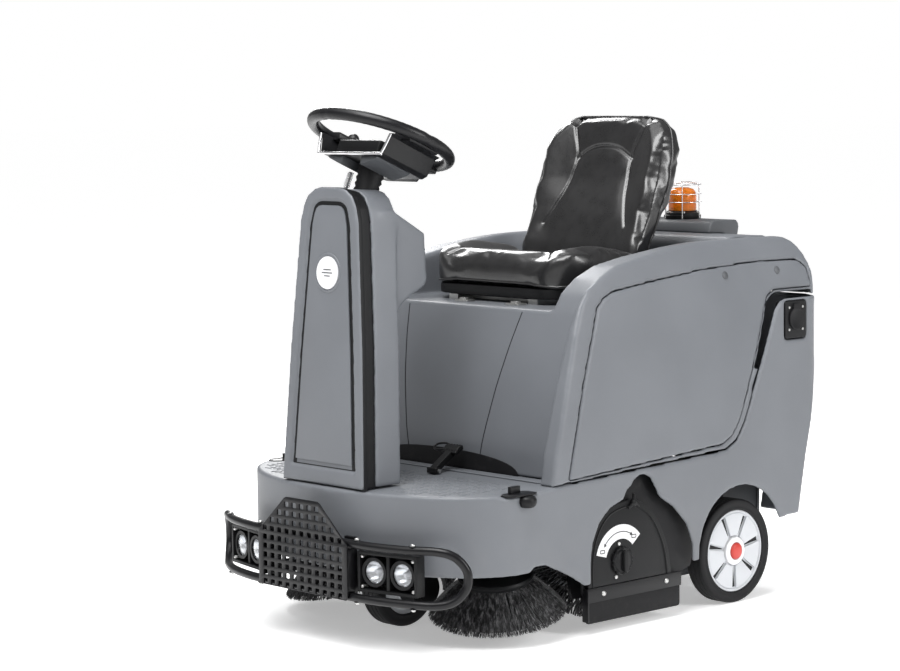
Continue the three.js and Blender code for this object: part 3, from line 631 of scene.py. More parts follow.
def tyre_section(outer, inner, half, round_r, grooves):
    """A tyre's section as (radius, height): side walls with a bead ring, round shoulders and a grooved tread."""
    side = [(inner, -half + 0.002), (inner + 0.004, -half + 0.0005), (inner + 0.007, -half + 0.0018)]
    wall = [(outer - round_r - 0.006, -half)]
    shoulder = [(r, h) for r, h in arc(outer - round_r, -half + round_r, round_r, -90, 0, 5)]
    low = side + wall + shoulder
    high = [(r, -h) for r, h in reversed(low)]
    tread = []
    for h in grooves:
        tread += [(outer, h - 0.0016), (outer - 0.0014, h - 0.0008), (outer - 0.0014, h + 0.0008), (outer, h + 0.0016)]
    return low + tread + high


def rear_wheel(name, side):
    centre = Vector((REAR_CENTRE.x * side, REAR_CENTRE.y, REAR_CENTRE.z))
    out = Vector((side, 0, 0))
    body = "rear_wheel_" + name
    section = tyre_section(0.125, 0.0985, 0.025, 0.007, (-0.012, 0.0, 0.012))
    verts, faces = turned(section, centre, out, 96, closed=True)
    piece_from("tyre_" + name, verts, faces, TYRE, body, ["rear_tyre_" + name], sharp=40)

    dish = [(0, -0.018), (0.097, -0.018), (0.0982, -0.016), (0.0982, 0.0205), (0.0965, 0.0222), (0.0935, 0.0222),
            (0.0915, 0.019), (0.088, 0.015), (0.034, 0.015), (0.03, 0.0165), (0, 0.0165)]
    verts, faces = turned(dish, centre, out, 96)
    piece_from("wheel_disc_" + name, verts, faces, SILVER, body, ["rear_wheel_" + name])
    turn = Vector((0, 0, 1)).rotation_difference(out).to_matrix().to_4x4()
    place = Matrix.Translation(centre) @ turn
    sectors = []
    for i in range(7):
        start = 360 / 7 * i + 4.5
        end = start + 360 / 7 - 9
        outline = arc(0, 0, 0.0905, start, end, 12) + arc(0, 0, 0.037, end - 2.5, start + 2.5, 6)
        sectors.append(slab(outline, 0.0145, 0.0205, "Z", place))
    piece_from("wheel_sectors_" + name, *joined(sectors), SILVER, body, bevel=0.0012)
    # Black strips in the grooves between the sectors: painted shade in the grooves.
    slot_shades = []
    for i in range(7):
        middle = 360 / 7 * i
        outline = arc(0, 0, 0.088, middle - 3.4, middle + 3.4, 3) + arc(0, 0, 0.041, middle + 1.6, middle - 1.6, 2)
        slot_shades.append(slab(outline, 0.014, 0.01545, "Z", place))
    piece_from("wheel_slots_" + name, *joined(slot_shades), BLACK, body)
    ring = [(0.0205, 0.016), (0.0345, 0.016), (0.0335, 0.0235), (0.028, 0.0262), (0.0215, 0.0262), (0.0205, 0.025)]
    piece_from("hub_ring_" + name, *turned(ring, centre, out, 64, closed=True), WHITE, body, sharp=40)
    cap = [(0, 0.016), (0.0198, 0.016), (0.0198, 0.0262), (0.0185, 0.0292), (0.0145, 0.0312), (0.008, 0.0322), (0, 0.0324)]
    piece_from("hub_cap_" + name, *turned(cap, centre, out, 48), RED, body, sharp=60)


def front_wheel():
    centre = Vector((0, -0.378, 0.095))
    section = tyre_section(0.095, 0.0665, 0.028, 0.008, (-0.014, 0.0, 0.014))
    piece_from("tyre_front", *turned(section, centre, (1, 0, 0), 80, closed=True), TYRE, "front_wheel",
               ["front_tyre"],
               sharp=40)
    disc = [(0.0124, -0.024), (0.03, -0.024), (0.034, -0.016), (0.058, -0.016), (0.0665, -0.022), (0.0665, 0.022),
            (0.058, 0.016), (0.034, 0.016), (0.03, 0.024), (0.0124, 0.024)]
    piece_from("disc_front", *turned(disc, centre, (1, 0, 0), 64, closed=True), SILVER, "front_wheel",
               ["front_wheel_hub"], sharp=30)


# ------------------------------------------------------------------ steering wheel and its column
def steering_frame():
    """Turns a shape drawn about the upright axis at the origin on to the leaned steering shaft."""
    joint = JOINTS["steering_turn"]
    axis = Vector(joint["axis"])
    across = Vector((1, 0, 0))
    back = axis.cross(across)
    turn = Matrix((across, back, axis)).transposed().to_4x4()
    return Matrix.Translation(Vector(joint["pos_m"])) @ turn


def placed(shape, place):
    verts, faces = shape
    return [place @ Vector(v) for v in verts], faces


def steering_wheel():
    place = steering_frame()
    rim_radius, grip = 0.16, 0.0142
    steps = 120
    route = []
    for i in range(steps):
        turn = 2 * math.pi * i / steps
        route.append(Vector((rim_radius * math.cos(turn), rim_radius * math.sin(turn), 0)))

    def swell(part):
        """Finger grips under the rim, and a joint line at four places."""
        gap = min(abs((part * 4 + 0.5) % 1 - 0.5) / 4, 1)
        return grip * (1 - (0.1 if gap < 0.0028 else 0.0)) - 0.0004 * abs(math.sin(part * 60 * math.pi))

    rim = tube(route, swell, 20, closed=True)
    piece_from("wheel_rim", *placed(rim, place), GRIP, "steering", ["steering_wheel"], sharp=60)

    # A sheet-metal cradle hangs below the rim and carries it on two upright arms and a rear block.
    depth = -0.06
    cradle = [(-0.128, -0.012), (-0.112, -0.012), (-0.1, depth + 0.006), (-0.088, depth), (0.088, depth),
              (0.1, depth + 0.006), (0.112, -0.012), (0.128, -0.012), (0.115, -0.018), (0.103, depth + 0.002),
              (0.09, depth - 0.005), (-0.09, depth - 0.005), (-0.103, depth + 0.002), (-0.115, -0.018)]
    body = slab(cradle, -0.075, 0.075, "Y")
    piece_from("wheel_cradle", *placed(body, place), GRIP, "steering", bevel=0.0018, sharp=40)
    lip_route = [Vector((x, y, z + 0.0018)) for y in (-0.0765,) for x, z in
                 ((-0.119, -0.016), (-0.1065, depth - 0.0), (-0.09, depth - 0.0035), (0.09, depth - 0.0035),
                  (0.1065, depth - 0.0), (0.119, -0.016))]
    lip = tube(spline(lip_route, 60), 0.0034, 10)
    piece_from("cradle_lip", *placed(lip, place), CHROME, "steering", sharp=60)

    arms = []
    for x in (-0.122, 0.122):
        arms.append(slab(round_rect(x - 0.03, x + 0.03, -0.018, 0.002, 0.006), -0.045, 0.045, "Y"))
    arms.append(slab(round_rect(-0.034, 0.034, 0.1, 0.162, 0.01), -0.02, -0.004, "Z"))
    piece_from("rim_blocks", *placed(joined(arms), place), GRIP, "steering", bevel=0.003, sharp=40)

    ball = turned([(0, 0.014), (0.0055, 0.013), (0.01, 0.0098), (0.0132, 0.0048), (0.014, 0.0), (0.0132, -0.0048),
                   (0.01, -0.0098), (0.0045, -0.0133), (0, -0.0135)], (-0.108, 0.01, 0.004), (0, 0, 1), 32)
    stalk = tube(spline([(-0.108, 0.01, -0.004), (-0.104, 0.0, -0.022), (-0.09, -0.01, depth + 0.006)], 16), 0.0042,
                 12)
    piece_from("shift_knob", *placed(joined([ball, stalk]), place), GRIP, "steering", sharp=60)

    pod = [(-0.07, -0.06), (0.07, -0.06), (0.092, 0.01), (0.085, 0.072), (0.05, 0.098), (-0.05, 0.098),
           (-0.085, 0.072), (-0.092, 0.01)]
    tub = slab(pod, depth - 0.004, -0.022, "Z")
    piece_from("hub_tub", *placed(tub, place), BLACK, "steering", bevel=0.006, segments=3, sharp=40)
    verts, faces = turned([(0, -0.03), (0.036, -0.03), (0.041, -0.026), (0.041, -0.018), (0.036, -0.012), (0.02, -0.009),
                           (0, -0.008)], (0, 0, 0), (0, 0, 1), 48)
    piece_from("hub_cover", *placed((verts, faces), place), GRIP, "steering", ["steering_hub"], sharp=40)

    wedges = []
    for x in (-1, 1):
        wedge = [(x * 0.03, depth - 0.0045), (x * 0.086, depth - 0.0045), (x * 0.078, depth - 0.01),
                 (x * 0.034, depth - 0.024)]
        wedges.append(slab(wedge, -0.066, 0.04, "Y"))
    piece_from("cradle_gussets", *placed(joined(wedges), place), DARK_GREY, "steering", bevel=0.0015, sharp=40)

    # The flexible boot narrows towards the column and the upper bearing shows below it.
    boot = [(0, -0.062)]
    for i in range(13):
        height = -0.064 - 0.0068 * i
        boot.append((0.031 - 0.0006 * i + (0.0026 if i % 2 else -0.001), height))
    boot += [(0.019, -0.15), (0, -0.15)]
    piece_from("steering_boot", *placed(turned(boot, (0, 0, 0), (0, 0, 1), 48), place), RUBBER, "steering", sharp=60)
    coil = []
    for i in range(241):
        turn = 2 * math.pi * 7 * i / 240
        coil.append(Vector((-0.046 + 0.0075 * math.cos(turn), -0.02 + 0.0075 * math.sin(turn),
                            -0.088 - 0.036 * i / 240)))
    piece_from("return_spring", *placed(tube(coil, 0.0013, 8), place), CHROME, "chassis", sharp=60)
    rod = tube([Vector((-0.046, -0.02, -0.0865)), Vector((-0.046, -0.02, -0.13))], 0.0042, 16)
    piece_from("spring_rod", *placed(rod, place), CHROME, "chassis", sharp=60)


# ------------------------------------------------------------------ seat
def puffed(name, node, shape, push):
    """A stuffed piece: an even skin, drawn in, shaped, then blown up as cloth."""
    piece = remeshed(name, NODES[node], 0.0055)
    mesh = piece.data
    edges = edges_of(mesh)
    points = spread(points_of(mesh), edges, 8)
    mesh.vertices.foreach_set("co", points.ravel())
    mesh.update()
    normals = np.empty(len(points) * 3)
    mesh.vertex_normals.foreach_get("vector", normals)
    normals = normals.reshape(-1, 3)
    points = shape(points - normals * 0.004, normals)
    mesh.vertices.foreach_set("co", points.ravel())
    mesh.update()
    cloth = piece.modifiers.new("cloth", "CLOTH")
    cloth.settings.use_pressure = True
    cloth.settings.uniform_pressure_force = push
    cloth.settings.quality = 6
    cloth.settings.tension_stiffness = cloth.settings.compression_stiffness = 22
    cloth.settings.bending_stiffness = 1.0
    cloth.settings.effector_weights.gravity = 0
    cloth.collision_settings.use_collision = False
    scene = bpy.context.scene
    for step in range(1, 21):
        scene.frame_set(step)
    moved = points_of(piece.evaluated_get(bpy.context.evaluated_depsgraph_get()).data)
    shift = moved - points
    length = np.maximum(np.linalg.norm(shift, axis=1, keepdims=True), 1e-9)
    points = spread(points + shift * np.minimum(1, 0.01 / length), edges, 2)
    piece.modifiers.clear()
    scene.frame_set(1)
    mesh.vertices.foreach_set("co", points.ravel())
    mesh.update()
    finer = piece.modifiers.new("finer", "SUBSURF")
    finer.levels = 1
    skin = bpy.data.meshes.new_from_object(piece.evaluated_get(bpy.context.evaluated_depsgraph_get()))
    piece.modifiers.clear()
    piece.data = skin
    return piece


def sewn(piece, lines, width, depth, facing):
    """Draws a sewn channel into the side that faces a direction, along lines of (x, height or depth) points."""
    mesh = piece.data
    points = points_of(mesh)
    normals = np.empty(len(points) * 3)
    mesh.vertex_normals.foreach_get("vector", normals)
    normals = normals.reshape(-1, 3)
    seen = np.clip(normals @ np.array(facing) * 3, 0, 1)
    other = 2 if abs(facing[1]) > abs(facing[2]) else 1
    flat = points[:, [0, other]]
    for line in lines:
        nearest = np.full(len(points), 1.0)
        for a, b in zip(line, line[1:]):
            start, along = np.array(a), np.array(b) - np.array(a)
            part = np.clip(((flat - start) @ along) / (along @ along), 0, 1)
            nearest = np.minimum(nearest, np.linalg.norm(flat - start - part[:, None] * along, axis=1))
        groove = np.exp(-(nearest / width) ** 2) + 0.55 * np.exp(-(nearest / (width * 4.5)) ** 2)
        points -= normals * (depth * groove * seen)[:, None]
    mesh.vertices.foreach_set("co", points.ravel())
    mesh.update()


def smoothed_line(points, steps=26):
    return [(p.x, p.y) for p in spline([Vector((x, y, 0)) for x, y in points], steps)]


def step_up(values, low, high):
    part = np.clip((values - low) / (high - low), 0, 1)
    return part * part * (3 - 2 * part)


def shape_cushion(points, normals):
    """A dish to sit in, a bolster along each side and a rolled front."""
    x, y = points[:, 0], points[:, 1]
    top = np.clip(normals[:, 2] * 2, 0, 1)
    side = step_up(np.abs(x), 0.13, 0.2)
    back = step_up(y, -0.05, 0.1)
    points[:, 2] += top * (side * (0.004 + 0.014 * back) - (1 - side) * 0.01 * step_up(y, -0.08, 0.05))
    return points


def shape_back(points, normals):
    """Bolsters that wrap forward at both sides of a hollow for the spine."""
    x, z = points[:, 0], points[:, 2]
    front = np.clip(-normals[:, 1] * 2, 0, 1)
    side = step_up(np.abs(x), 0.1, 0.19)
    points[:, 1] += front * (0.012 * (1 - side) - 0.012 * side * step_up(z, 0.86, 1.0) * step_up(-z, -1.19, -1.08))
    lumbar = np.exp(-((z - 0.93) / 0.06) ** 2)
    points[:, 1] -= front * (1 - side) * 0.01 * lumbar
    return points


def piping(name, route, cushion, radius, finish, body, closed=True):
    """A cord of welting pulled on to the skin of a cushion."""
    skin = surface_of(cushion)
    on_skin = []
    for point in route:
        place, normal, _, _ = skin.find_nearest(point)
        on_skin.append(place + normal * radius * 0.45)
    return piece_from(name, *tube(on_skin, radius, 8, closed=closed), finish, body, sharp=80)


def seat():
    cushion = puffed("cushion", "seat_cushion", shape_cushion, 4.0)
    crease = [smoothed_line([(side * 0.118, 0.205), (side * 0.122, 0.1), (side * 0.142, 0.0), (side * 0.172, -0.052)])
              for side in (1, -1)]
    sewn(cushion, crease, 0.0035, 0.0035, (0, 0, 1))
    settle(cushion, VINYL, "seat", ["seat_cushion"])

    back = puffed("backrest", "seat_back", shape_back, 4.0)
    uprights = [smoothed_line([(side * 0.124, 1.168), (side * 0.108, 1.12), (side * 0.09, 1.062), (side * 0.1, 0.99),
                               (side * 0.118, 0.94), (side * 0.136, 0.9)]) for side in (1, -1)]
    arch = smoothed_line([(-0.088, 1.062), (-0.045, 1.084), (0, 1.09), (0.045, 1.084), (0.088, 1.062)])
    sewn(back, uprights + [arch], 0.0038, 0.005, (0, -1, 0))
    settle(back, VINYL, "seat", ["seat_back"])

    hem = spline([(0.15, -0.085, 0.77), (0.21, -0.062, 0.77), (0.236, 0.0, 0.77), (0.236, 0.19, 0.77), (0.2, 0.207, 0.77),
                  (-0.2, 0.207, 0.77), (-0.236, 0.19, 0.77), (-0.236, 0.0, 0.77), (-0.21, -0.062, 0.77),
                  (-0.15, -0.085, 0.77)], 160, closed=True)
    piping("cushion_piping", hem, cushion, 0.0026, VINYL, "seat")
    edge = []
    for x, z in ((0.2, 0.8), (0.209, 0.86), (0.216, 0.95), (0.214, 1.02), (0.206, 1.081), (0.189, 1.135), (0.16, 1.162),
                 (0.11, 1.174), (0.0, 1.178)):
        edge.append((x, 0.258 + (z - 0.8) * 0.297, z))
    ring = edge + [(-x, y, z) for x, y, z in reversed(edge[:-1])]
    piping("backrest_piping", spline(ring, 170), back, 0.0026, VINYL, "seat", closed=False)

    pan = round_rect(-0.212, 0.212, -0.074, 0.282, 0.06, 8)
    piece_from("seat_pan_tray", *slab(pan, 0.743, 0.7665, "Z"), BLACK, "seat", ["seat_pan"], bevel=0.004)
    strut = [(0.215, 0.745), (0.27, 0.745), (0.3, 0.8), (0.392, 1.04), (0.385, 1.046), (0.29, 0.83), (0.258, 0.764)]
    struts = [slab(strut, x - 0.022, x + 0.022, "X") for x in (-0.055, 0.055)]
    cross = [tube([Vector((-0.07, y, z)), Vector((0.07, y, z))], 0.006, 12) for y, z in ((0.312, 0.86), (0.372, 1.01))]
    piece_from("seat_struts", *joined(struts + cross), STEEL_BLACK, "seat", bevel=0.002, sharp=40)
    clips = []
    for x in (-0.062, 0.112):
        clips.append(slab(round_rect(x - 0.022, x + 0.022, -0.118, -0.086, 0.005), 0.7285, 0.7345, "Z"))
        clips.append(slab(round_rect(x - 0.01, x + 0.01, -0.112, -0.094, 0.004), 0.734, 0.739, "Z"))
    piece_from("rail_stops", *joined(clips), STEEL, "hood", bevel=0.0012)


# ------------------------------------------------------------------ brushes
def strands(count, seed, root, tip, jitter, thick):
    """Many fine bristles between a ring of roots and a ring of tips, each (radius, height)."""
    draw = random.Random(seed)
    parts = []
    for i in range(count):
        turn = 2 * math.pi * (i + draw.uniform(-0.5, 0.5)) / count
        lean = draw.uniform(-0.1, 0.1)
        root_r = root[0] + draw.uniform(-0.008, 0.006)
        tip_r = tip[0] + draw.uniform(-jitter, jitter * 0.2)
        tip_h = tip[1] + draw.uniform(-0.001, jitter * 0.8)
        route = []
        for k in range(6):
            part = k / 5
            r = root_r + (tip_r - root_r) * (part ** 0.92)
            h = root[1] + (tip_h - root[1]) * (part ** 1.12)
            angle = turn + lean * part * part
            route.append(Vector((r * math.cos(angle), r * math.sin(angle), h)))
        parts.append(tube(route, lambda part: thick * (1 - 0.35 * part), 4))
    return joined(parts)


def side_brush(name, side):
    joint = JOINTS[f"side_brush_{name}_spin"]
    axis, centre = Vector(joint["axis"]), Vector(joint["pos_m"])
    turn = Vector((0, 0, 1)).rotation_difference(axis).to_matrix().to_4x4()
    place = Matrix.Translation(centre) @ turn
    body = "side_brush_" + name
    plate = [(0, -0.012), (0.06, -0.012), (0.076, -0.008), (0.084, 0.0), (0.086, 0.006), (0.083, 0.011), (0.072, 0.0135),
             (0.06, 0.019), (0.05, 0.02), (0, 0.02)]
    piece_from("brush_plate_" + name, *turned(plate, centre, axis, 72), BLACK, body, sharp=45)
    core = [(0, -0.012), (0.068, -0.012), (0.078, -0.014), (0.103, -0.038), (0.128, -0.066), (0.134, -0.076),
            (0.118, -0.074), (0.09, -0.045), (0.064, -0.022), (0, -0.02)]
    # The root core takes the darker bristle copy: painted shade where the bristles crowd.
    piece_from("brush_core_" + name, *turned(core, centre, axis, 72), SHADED_BRISTLE_ROOT, body, sharp=60)
    for layer, (count, root, tip, jitter, thick) in enumerate((
            (1150, (0.076, -0.004), (0.1565, -0.08), 0.006, 0.00075),
            (800, (0.066, -0.01), (0.146, -0.083), 0.007, 0.0008))):
        verts, faces = placed(strands(count, 11 + layer + side, root, tip, jitter, thick), place)
        piece_from(f"bristles_{name}_{layer}", verts, faces, BRISTLE, body,
                   ["side_brush_" + name] if layer == 0 else [], sharp=80)
    bolts = [turned([(0, 0.0195), (0.006, 0.0195), (0.006, 0.0235), (0, 0.0235)], (0, 0, 0), (0, 0, 1), 6)]
    shifted = []
    for i in range(3):
        angle = 2 * math.pi * i / 3
        shift = Matrix.Translation((0.05 * math.cos(angle), 0.05 * math.sin(angle), 0))
        shifted.append(placed(bolts[0], place @ shift))
    piece_from("brush_bolts_" + name, *joined(shifted), STEEL, body, sharp=30)


def main_brush():
    """A core tube with a spiral of bristle rows."""
    centre = Vector(JOINTS["main_brush_spin"]["pos_m"])
    draw = random.Random(5)
    half = 0.322
    core = tube([Vector((-0.343, centre.y, centre.z)), Vector((0.343, centre.y, centre.z))], 0.012, 24)
    drum = tube([Vector((-half, centre.y, centre.z)), Vector((half, centre.y, centre.z))], 0.062, 48)
    piece_from("brush_drum", *joined([core, drum]), DARK_GREY, "main_brush", ["main_brush"], sharp=40)
    tufts = []
    for row in range(10):
        for k in range(74):
            x = -half + 0.006 + (2 * half - 0.012) * k / 73
            turn = 2 * math.pi * (row / 10) + 2.2 * abs(x) / half
            for _ in range(2):
                lean = draw.uniform(-0.05, 0.05)
                shift = draw.uniform(-0.004, 0.004)
                reach = 0.1265 - draw.uniform(0, 0.003)
                root = centre + Vector((x, 0.06 * math.cos(turn), 0.06 * math.sin(turn)))
                tip = centre + Vector((x + shift, reach * math.cos(turn + lean), reach * math.sin(turn + lean)))
                tip.x = min(max(tip.x, -0.324), 0.324)
                tufts.append(tube([root, root.lerp(tip, 0.5), tip], 0.0021, 4))
    piece_from("roller_bristles", *joined(tufts), BRISTLE, "main_brush", sharp=80)


# ------------------------------------------------------------------ bumper, guard and lamps
BUMPER_BAR = ((0.13, -0.652), (0.215, -0.646), (0.3, -0.624), (0.36, -0.592))
BUMPER_END = ((0.391, -0.568, 0.233), (0.409, -0.551, 0.208), (0.413, -0.547, 0.184), (0.409, -0.551, 0.16),
              (0.391, -0.568, 0.135))
BUMPER_TOP, BUMPER_LOW = 0.243, 0.125


def bumper():
    right = [(x, y, BUMPER_TOP) for x, y in ((0.0, -0.652), (0.06, -0.652)) + BUMPER_BAR]
    right += list(BUMPER_END)
    right += [(x, y, BUMPER_LOW) for x, y in reversed(((0.0, -0.652), (0.06, -0.652)) + BUMPER_BAR)]
    left = [(-x, y, z) for x, y, z in reversed(right[1:-1])]
    route = spline(right + left, 300, closed=True)
    piece_from("bumper_bar", *tube(route, 0.0098, 20, closed=True), STEEL_BLACK, "chassis", ["bumper_tube"], sharp=80)
    fixings, screws = [], []
    for side in (1, -1):
        for x, y in ((0.168, -0.65), (0.316, -0.619)):
            for z, up in ((BUMPER_TOP, 1), (BUMPER_LOW, -1)):
                screws.append(turned([(0, 0.009), (0.0048, 0.009), (0.0052, 0.0125), (0.0036, 0.0148), (0, 0.0152)],
                                     (side * x, y, z), (0, 0, up), 20))
                fixings.append(turned([(0, 0.0088), (0.0078, 0.0088), (0.0078, 0.0103), (0, 0.0103)],
                                      (side * x, y, z), (0, 0, up), 20))
    piece_from("bumper_washers", *joined(fixings), STEEL_BLACK, "chassis", sharp=30)
    piece_from("bumper_screws", *joined(screws), STEEL, "chassis", sharp=50)


def holed_plate(name, outline, holes, thickness, place, finish, body, replaces=()):
    """A flat plate with holes, its edges slightly rounded. Outlines are (x, y) points."""
    curve = bpy.data.curves.new(name, "CURVE")
    curve.dimensions = "2D"
    curve.fill_mode = "BOTH"
    curve.extrude = thickness / 2 - 0.0005
    curve.bevel_depth = 0.0005
    curve.bevel_resolution = 1
    curve.offset = -0.0005
    for loop in [outline, *holes]:
        line = curve.splines.new("POLY")
        line.points.add(len(loop) - 1)
        line.use_cyclic_u = True
        for point, (u, v) in zip(line.points, loop):
            point.co = (u, v, 0, 1)
    source = bpy.data.objects.new(name, curve)
    bpy.context.scene.collection.objects.link(source)
    mesh = bpy.data.meshes.new_from_object(source.evaluated_get(bpy.context.evaluated_depsgraph_get()))
    bpy.data.objects.remove(source)
    bm = bmesh.new()
    bm.from_mesh(mesh)
    bmesh.ops.transform(bm, matrix=place, verts=bm.verts)
    return piece_of(name, bm, finish, body, replaces, sharp=40)


def guard():
    upright = Matrix.Translation((0, -0.666, 0)) @ Matrix.Rotation(math.pi / 2, 4, "X")
    half, top_half, low, shoulder, top = 0.154, 0.056, 0.118, 0.24, 0.327
    outline = [(-half + 0.006, low), (half - 0.006, low), (half, low + 0.006), (half, shoulder - 0.003),
               (half - 0.002, shoulder + 0.002), (top_half + 0.004, top - 0.003), (top_half - 0.004, top),
               (-top_half + 0.004, top), (-top_half - 0.004, top - 0.003), (-half + 0.002, shoulder + 0.002),
               (-half, shoulder - 0.003), (-half, low + 0.006)]
    holes = []
    for row in range(10):
        z = top - 0.017 - 0.0204 * row
        reach = 2 + row if row < 3 else 5
        for column in range(-reach, reach + 1):
            x = 0.026 * column
            holes.append(round_rect(x - 0.007, x + 0.007, z - 0.006, z + 0.006, 0.0024, 2))
    holed_plate("guard", outline, holes, 0.004, upright, STEEL_BLACK, "chassis", ["guard_plate"])
    flanges = []
    for side in (1, -1):
        outline = round_rect(-0.664, -0.643, 0.137, 0.231, 0.004, 3)
        x0, x1 = sorted((side * 0.1505, side * 0.154))
        flanges.append(slab(outline, x0, x1, "X"))
    piece_from("guard_flanges", *joined(flanges), STEEL_BLACK, "chassis", bevel=0.0008)


def lamp(name, side):
    """Two round lamps in a box that follows the bend of the bumper."""
    place = Matrix.Diagonal((side, 1, 1, 1)) @ Matrix.Translation((0.243, -0.63, 0.184))
    place = place @ Matrix.Rotation(math.radians(12), 4, "Z")
    replaced = ["lamp_housing_" + name]
    parts = []
    for lo_x, hi_x, lo_z, hi_z in ((-0.08, -0.073, -0.045, 0.045), (0.073, 0.08, -0.045, 0.045),
                                   (-0.075, 0.075, 0.038, 0.045), (-0.075, 0.075, -0.045, -0.038)):
        parts.append(slab(round_rect(lo_x, hi_x, lo_z, hi_z, 0.0015, 2), 0.0, 0.03, "Y"))
    parts.append(slab(round_rect(-0.079, 0.079, -0.044, 0.044, 0.005), 0.026, 0.031, "Y"))
    parts.append(slab(round_rect(-0.004, 0.004, -0.04, 0.04, 0.002, 2), 0.004, 0.028, "Y"))
    piece_from("lamp_box_" + name, *placed(joined(parts), place), BLACK, "chassis", replaced, bevel=0.001)
    bezels, bowls, domes, bulbs, screws = [], [], [], [], []
    for x in (-0.038, 0.038):
        centre = Vector((x, 0, 0))
        bezels.append(turned([(0.0255, 0.004), (0.0325, 0.004), (0.0335, 0.007), (0.0335, 0.026), (0.0255, 0.026),
                              (0.0245, 0.008)], centre, (0, 1, 0), 48, closed=True))
        bowls.append(turned([(0.0243, 0.0085), (0.02, 0.016), (0.012, 0.0225), (0.004, 0.0248), (0, 0.025), (0, 0.0256),
                             (0.0243, 0.0256)], centre, (0, 1, 0), 48))
        domes.append(turned([(0, 0.0035), (0.01, 0.0041), (0.018, 0.0057), (0.0243, 0.0082), (0.0243, 0.0098),
                             (0.018, 0.0073), (0.01, 0.0057), (0, 0.0051)], centre, (0, 1, 0), 48))
        bulbs.append(turned([(0, 0.012), (0.004, 0.013), (0.0062, 0.016), (0.0062, 0.0245), (0, 0.0245)], centre,
                            (0, 1, 0), 24))
    for x in (-0.0685, 0.0685):
        for z in (-0.0335, 0.0335):
            screws.append(turned([(0, -0.0005), (0.0028, 0.0002), (0.004, 0.0022), (0.004, 0.026), (0, 0.026)],
                                 Vector((x, 0, z)), (0, 1, 0), 16))
    piece_from("lamp_bezels_" + name, *placed(joined(bezels), place), BLACK, "chassis", sharp=40)
    piece_from("lamp_bowls_" + name, *placed(joined(bowls), place), CHROME, "chassis", sharp=60)
    piece_from("lamp_bulbs_" + name, *placed(joined(bulbs), place), WHITE, "chassis", sharp=60)
    piece_from("lamp_glasses_" + name, *placed(joined(domes), place), CLEAR, "chassis", ["lamp_lens_" + name],
               sharp=60)
    piece_from("lamp_screws_" + name, *placed(joined(screws), place), STEEL, "chassis", sharp=50)


